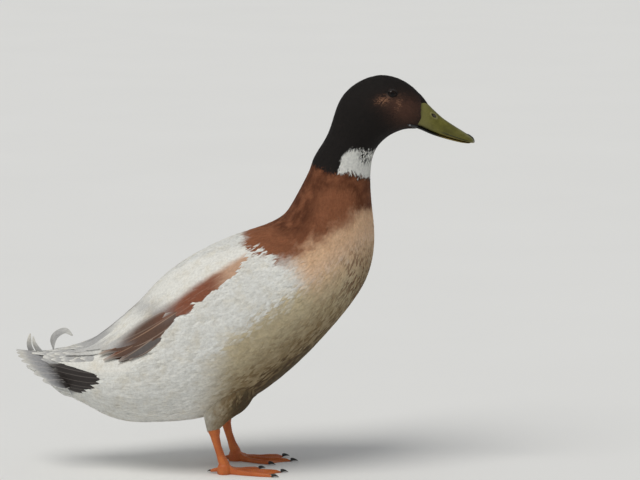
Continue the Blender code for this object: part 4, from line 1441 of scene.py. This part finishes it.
def bill_marks(mesh, low):
    """Where the bill is dark, pale or worn, as attributes for its finish. low is 1 on its lower half."""
    places = vertex_places(mesh)
    x, z = places[:, 0], places[:, 2]
    ridge = graph(x, [(row[0], row[1]) for row in UPPER_BILL])
    edge = graph(x, [(row[2], row[3]) for row in UPPER_BILL])
    up = (z - edge) / (ridge - edge)
    away = np.hypot(*nostril_place(places))
    hole = 1 - ease(away, 0.75, 1.10)
    spot = hump(away, 0.15, 0.30) * 0.8
    rim = hump(away, 1.35, 0.25)
    # The dark line along the groove over the rim is painted shade in the groove.
    line = hump(up, 0.20, 0.045) * ease(x, 0.202, 0.212) * (1 - ease(x, 0.230, 0.236)) * (1 - low)
    lip = (1 - ease(up, 0.02, 0.13)) * ease(x, 0.198, 0.210)
    smudge = hump(x, 0.2130, 0.0120) * hump(up, 0.45, 0.22)
    gape = (1 - ease(x, 0.184, 0.204)) * (1 - ease(up, 0.0, 0.16))
    dark = np.clip(hole + 0.8 * line + np.maximum(gape, low * (1 - ease(x, 0.196, 0.214))), 0, 1)
    put_vectors(mesh, "bill_mark", np.stack([dark, np.clip(lip * (1 - low) + 0.7 * low, 0, 1), smudge], 1))
    base = 1 - ease(x, 0.186, 0.200)
    put_vectors(mesh, "bill_tone", np.stack([base, np.clip(spot, 0, 1), rim], 1))


def bill_finish():
    made, net, shader = finish("bill_horn", Roughness=0.42, Specular_IOR_Level=0.35)
    place = net.object_place()
    dark, lip, smudge = net.split(net.attribute("bill_mark"))
    base, spot, rim = net.split(net.attribute("bill_tone"))
    cloud = net.noise(place, 110.0, 4.0, 0.6)
    speck = net.noise(place, 900.0, 3.0, 0.6)
    colour = net.mix(net.scaled(cloud, 0.35, 0.65), tint(101, 97, 36), tint(83, 79, 20))
    colour = net.mix(net.times(base, 0.75), colour, tint(112, 108, 57))
    colour = net.mix(net.times(smudge, 0.75), colour, tint(64, 61, 10))
    colour = net.mix(net.times(lip, 0.75), colour, tint(136, 112, 60))
    colour = net.mix(net.times(rim, 0.4), colour, tint(160, 154, 110))
    colour = net.mix(dark, colour, tint(28, 27, 24))
    colour = net.mix(spot, colour, tint(118, 104, 96))
    net.feed(shader.inputs["Base Color"], net.lit(colour, net.scaled(speck, 0.3, 0.7, 0.90, 1.08)))
    net.feed(shader.inputs["Roughness"], net.scaled(cloud, 0.3, 0.7, 0.36, 0.50))
    net.feed(shader.inputs["Normal"], net.bump(speck, 0.25, 0.0002))
    return made


def nail_finish():
    made, net, shader = finish("nail_horn", Roughness=0.50)
    streak = net.noise(net.stretch(net.object_place(), (120.0, 900.0, 120.0)), 1.0, 2.0)
    net.feed(shader.inputs["Base Color"], net.mix(streak, tint(18, 17, 16), tint(40, 36, 31)))
    net.feed(shader.inputs["Normal"], net.bump(streak, 0.2, 0.0001))
    return made


BILL, NAIL = bill_finish(), nail_finish()
make_bill()
make_nail()


def coat_forehead():
    """The wedge of small feathers that runs out over the root of the bill's ridge."""
    s, t = lattice(forehead, 0.10, 0.99, ((0, 0.0008), (1, 0.0006)), ((0, 0.0009), (1, 0.0006)))
    t = (t + 0.5) % 1.0 - 0.5
    kept = np.abs(t) < 0.30
    s, t = s[kept], t[kept]
    length = rng.uniform(0.0028, 0.0036, len(s))
    mesh = lay("coat_forehead", forehead, (s, t), LANCE, length, length * 0.40, 0.0004, 0.0001,
               rng.normal(0, 0.08, len(s)), span=(-0.2, 1.2), soft=0.12)
    add_piece("coat_forehead", mesh, FEATHER, "head_feathers")


coat_forehead()

# The fold of the mouth's corner, from the bill's root back along the cheek: x, z and half its thickness.
GAPE = ((0.1880, 0.3570, 0.0010), (0.1840, 0.3584, 0.0020), (0.1800, 0.3596, 0.0026),
        (0.1755, 0.3609, 0.0023), (0.1718, 0.3620, 0.0015), (0.1688, 0.3630, 0.0004))


def make_gape(side, name, rows=40, columns=16):
    points = np.zeros((rows, columns, 3))
    turns = ring(columns)
    for i in range(rows):
        x, z, radius = between(GAPE, (len(GAPE) - 1) * i / (rows - 1))
        s, t = body.find(min(x, 0.1832), z, side)
        near, normal = body.at(s, t), body.normal_at(s, t)
        centre = np.array((x, near[1], z)) + normal * (0.0003 - 0.15 * radius)
        up = unit(np.cross(normal, X))
        points[i] = centre + normal * (radius * 0.45 * np.cos(turns))[:, None] + (
            up * (radius * np.sin(turns))[:, None])
    bm = bmesh.new()
    wrap(bm, points)
    mesh = to_mesh(f"gape_{name}", bm)
    places = vertex_places(mesh)
    pale = hump(places[:, 0], 0.1716, 0.0014) + 0.6 * hump(places[:, 0], 0.1762, 0.0008)
    put_vectors(mesh, "gape_mark", np.stack([pale, pale, pale], 1))
    add_piece(f"gape_{name}", mesh, GAPE_SKIN, "bill")


def gape_finish():
    made, net, shader = finish("gape_skin", Roughness=0.42, Specular_IOR_Level=0.4)
    pale = net.split(net.attribute("gape_mark"))[0]
    cloud = net.noise(net.object_place(), 500.0, 2.0)
    colour = net.mix(cloud, tint(18, 17, 18), tint(34, 34, 38))
    speck = net.scaled(net.times(pale, cloud), 0.30, 0.55)
    net.feed(shader.inputs["Base Color"], net.mix(speck, colour, tint(160, 160, 164)))
    net.feed(shader.inputs["Normal"], net.bump(cloud, 0.4, 0.0003))
    return made


GAPE_SKIN = gape_finish()
for side, name in SIDES.items():
    make_gape(side, name)

# ---------------------------------------------------------------- eyes

EYE_RADIUS = 0.0064
LID_OUTSIDE = (0.0067, 0.0055)  # half the length and half the height of the bare ring round an eye
LID_LAP = 0.0006  # how far the ring reaches in over the opening, and how deep it runs under the feathers


def eye_finish():
    """A wet dark eye: black pupil, brown iris with fine rays, black outside it."""
    made, net, shader = finish("eye", Roughness=0.06, Specular_IOR_Level=0.18)
    place = net.attribute("gaze")
    out, turn = net.split(place)[:2]
    rays = net.noise(net.join(net.times(turn, 14.0), net.times(out, 3.0)), 1.0, 2.0)
    iris = net.mix(rays, tint(17, 10, 6), tint(30, 17, 10))
    colour = net.mix(net.scaled(out, 0.30, 0.36), tint(7, 6, 6), iris)
    colour = net.mix(net.scaled(out, 0.60, 0.74), colour, tint(12, 9, 8))
    net.feed(shader.inputs["Base Color"], colour)
    return made


def lid_finish():
    made, net, shader = finish("eyelid_skin", Roughness=0.75, Specular_IOR_Level=0.3)
    place = net.object_place()
    wrinkles = net.noise(place, 1400.0, 3.0, 0.6)
    upper = net.split(net.attribute("gaze"))[0]
    colour = net.mix(upper, tint(21, 16, 14), tint(31, 25, 22))
    net.feed(shader.inputs["Base Color"], net.lit(colour, net.scaled(wrinkles, 0.3, 0.7, 0.85, 1.12)))
    net.feed(shader.inputs["Normal"], net.bump(wrinkles, 0.5, 0.0002))
    return made


EYE_WET, LID = eye_finish(), lid_finish()


def make_eyeball(side, name):
    centre = np.array((EYE.x, side * EYE.y, EYE.z))
    bm = bmesh.new()
    bmesh.ops.create_uvsphere(bm, u_segments=48, v_segments=32, radius=EYE_RADIUS)
    bmesh.ops.rotate(bm, verts=bm.verts, cent=(0, 0, 0), matrix=Matrix.Rotation(math.radians(90), 3, "X"))
    bmesh.ops.translate(bm, vec=Vector(centre), verts=bm.verts)
    settle(bm)
    mesh = to_mesh(f"eyeball_{name}", bm)
    gaze = (vertex_places(mesh) - centre) / EYE_RADIUS
    axis = unit(np.array((0.10, side, 0.02)))
    off = np.arccos(np.clip(gaze @ axis, -1, 1))
    turn = np.arctan2(gaze[:, 2], gaze[:, 0])
    put_vectors(mesh, "gaze", np.stack([off, turn, turn], 1))
    add_piece(f"eyeball_{name}", mesh, EYE_WET, "eye", f"eye_{name}")


def make_lids(side, name, around=72, across=9):
    """A ring that lies on the eye at its opening and runs out under the feathers."""
    angle = ring(around)
    outside, inside = [], []
    for f in np.arange(across) / (across - 1):
        wide, high = (inner - LID_LAP + (outer - inner + LID_LAP) * f
                      for inner, outer in zip(EYE_OPENING, LID_OUTSIDE))
        dx, dz = wide * np.cos(angle), high * np.sin(angle)
        dz = dz + 0.0002 * np.cos(angle)
        ball = EYE.y + np.sqrt(np.clip((EYE_RADIUS + 0.00012) ** 2 - dx**2 - dz**2, 0.0, None))
        found = [body.find(EYE.x + a, EYE.z + b, side) for a, b in zip(dx, dz)]
        head = np.abs(body.at(*np.array(found).T)[:, 1]) - LID_LAP
        share = ease(f, 0.1, 0.9)
        out = np.maximum(ball, ball * (1 - share) + head * share) + 0.0003 * hump(f, 0.3, 0.3)
        outside.append(np.stack([EYE.x + dx, side * out, EYE.z + dz], 1))
        inside.append(np.stack([EYE.x + dx, side * (out - 0.0005), EYE.z + dz], 1))
    points = np.stack(outside + inside[::-1], 1)
    bm = bmesh.new()
    wrap(bm, points, closed_rows=True)
    mesh = to_mesh(f"eyelids_{name}", bm)
    places = vertex_places(mesh)
    upper = ease(places[:, 2] - EYE.z, 0.0015, 0.0040)
    put_vectors(mesh, "gaze", np.stack([upper, upper, upper], 1))
    add_piece(f"eyelids_{name}", mesh, LID, "head_feathers")


for side, name in SIDES.items():
    make_eyeball(side, name)
    make_lids(side, name)

# ---------------------------------------------------------------- legs

# Toes: angle outwards from straight ahead, and length.
TOES = ((math.radians(-33), 0.044), (math.radians(-6), 0.060), (math.radians(20), 0.054))
HIND_TOE = (math.pi + 0.27, 0.015)
SHANK_LENGTH = 0.0412  # about the way from the ankle to the toe joint
SCUTE = 0.0023  # one plate on the front of the shank or on a toe
LEG_GRAIN = 0.00062  # size of the legs' facets


def plates(distance, pitch):
    """Overlapping plates along a limb: each rises slowly and ends in a step."""
    f = (distance / pitch) % 1.0
    return f**0.7 * (1 - ease(f, 0.86, 1.0))


def leg_relief(places, normals, side):
    """How high the horny plates stand on a leg, and where the grooves between them and the webs are."""
    ankle, joint = leg_place(side, ANKLE.x, ANKLE.z), leg_place(side, TOE_JOINT.x, TOE_JOINT.z)
    down = (ankle[2] - places[:, 2]) / (ankle[2] - joint[2])
    on_shank = ease(places[:, 2], 0.0100, 0.0130)
    front = ease(normals[:, 0], 0.1, 0.5)
    height = plates(down * SHANK_LENGTH, SCUTE) * front * on_shank
    ahead, aside = places[:, 0] - joint[0], (places[:, 1] - joint[1]) * side
    toe_top = np.zeros(len(places))
    for angle, length in TOES:
        along = ahead * math.cos(angle) + aside * math.sin(angle)
        off = np.abs(aside * math.cos(angle) - ahead * math.sin(angle))
        here = (1 - ease(off, 0.0026, 0.0042)) * ease(along, 0.006, 0.010) * ease(normals[:, 2], 0.2, 0.5)
        height = np.maximum(height, plates(along, SCUTE * 0.9) * here)
        toe_top = np.maximum(toe_top, here)
    groove = (1 - np.clip(height, 0, 1)) * np.clip(front * on_shank + toe_top, 0, 1)
    web = (1 - on_shank) * (1 - toe_top)
    return height, groove, web


def make_leg(side, name):
    bm = bmesh.new()
    for part in ("shank", "foot"):
        bm.from_mesh(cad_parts[f"{part}_{name}"].data)
    knuckle = leg_place(side, TOE_JOINT.x, TOE_JOINT.z)
    bmesh.ops.create_uvsphere(bm, u_segments=16, v_segments=10, radius=0.0054,
                              matrix=Matrix.Translation(Vector(knuckle)))
    mesh = remeshed(to_mesh(f"leg_{name}", bm), LEG_GRAIN, 4)
    places = vertex_places(mesh)
    normals = np.empty(len(places) * 3, np.float32)
    mesh.vertex_normals.foreach_get("vector", normals)
    normals = normals.reshape(-1, 3)
    height, groove, web = leg_relief(places, normals, side)
    moved = places + normals * (0.00030 * height[:, None])
    mesh.vertices.foreach_set("co", moved.astype(np.float32).ravel())
    put_vectors(mesh, "leg_mark", np.stack([groove, web, height], 1))
    add_piece(f"leg_{name}", mesh, LEG, "leg_skin", f"shank_{name}", f"foot_{name}")


def claw_rings(knuckle, side, angle, length, hind):
    """A claw's sections from inside its toe to its tip, which hooks down."""
    ahead = np.array((math.cos(angle), side * math.sin(angle), 0.0))
    aside = np.array((-ahead[1], ahead[0], 0.0))
    root = knuckle * (1, 1, 0) + ahead * (length - 0.0012) + Z * (0.0026 if hind else 0.0021)
    size, reach, hook = (0.0012, 0.0048, 0.0009) if hind else (0.0018, 0.0080, 0.0012)
    turns = ring(14)
    points = []
    for f in np.linspace(0, 1, 14):
        middle = root + ahead * (reach * f) + Z * (0.0006 * math.sin(math.pi * f) - hook * f * f)
        radius = size * (1 - f**1.6 * 0.93)
        points.append(middle + aside * (0.85 * radius * np.cos(turns))[:, None]
                      + Z * (radius * np.sin(turns))[:, None])
    return np.array(points)


def make_claws(side, name):
    knuckle = leg_place(side, TOE_JOINT.x, TOE_JOINT.z)
    claws = bmesh.new()
    for toe in (*TOES, HIND_TOE):
        horn = bmesh.new()
        wrap(horn, claw_rings(knuckle, side, *toe, toe == HIND_TOE))
        part = to_mesh("horn", horn)
        claws.from_mesh(part)
        bpy.data.meshes.remove(part)
    nodes = (f"claw_{name}_{toe}" for toe in ("inner", "middle", "outer", "hind"))
    add_piece(f"claws_{name}", to_mesh(f"claws_{name}", claws), NAIL, "claw", *nodes)


def leg_finish():
    made, net, shader = finish("leg_scales", Roughness=0.48, Specular_IOR_Level=0.4,
                               Subsurface_Weight=0.15, Subsurface_Scale=0.002)
    place = net.object_place()
    groove, web, height = net.split(net.attribute("leg_mark"))
    cloud = net.noise(place, 90.0, 3.0, 0.6)
    lines = net.scaled(net.cell_edges(place, 900.0), 0.0, 0.12, 1.0, 0.0)
    colour = net.mix(net.scaled(cloud, 0.3, 0.7), tint(208, 118, 56), tint(188, 98, 44))
    colour = net.mix(net.times(web, 0.35), colour, tint(184, 94, 50))
    colour = net.mix(net.times(groove, 0.55), colour, tint(132, 58, 26))
    colour = net.mix(net.times(lines, 0.30), colour, tint(140, 62, 28))
    net.feed(shader.inputs["Base Color"], colour)
    net.feed(shader.inputs["Normal"], net.bump(lines, -0.35, 0.0002))
    return made


LEG = leg_finish()
for side, name in SIDES.items():
    make_leg(side, name)
    make_claws(side, name)
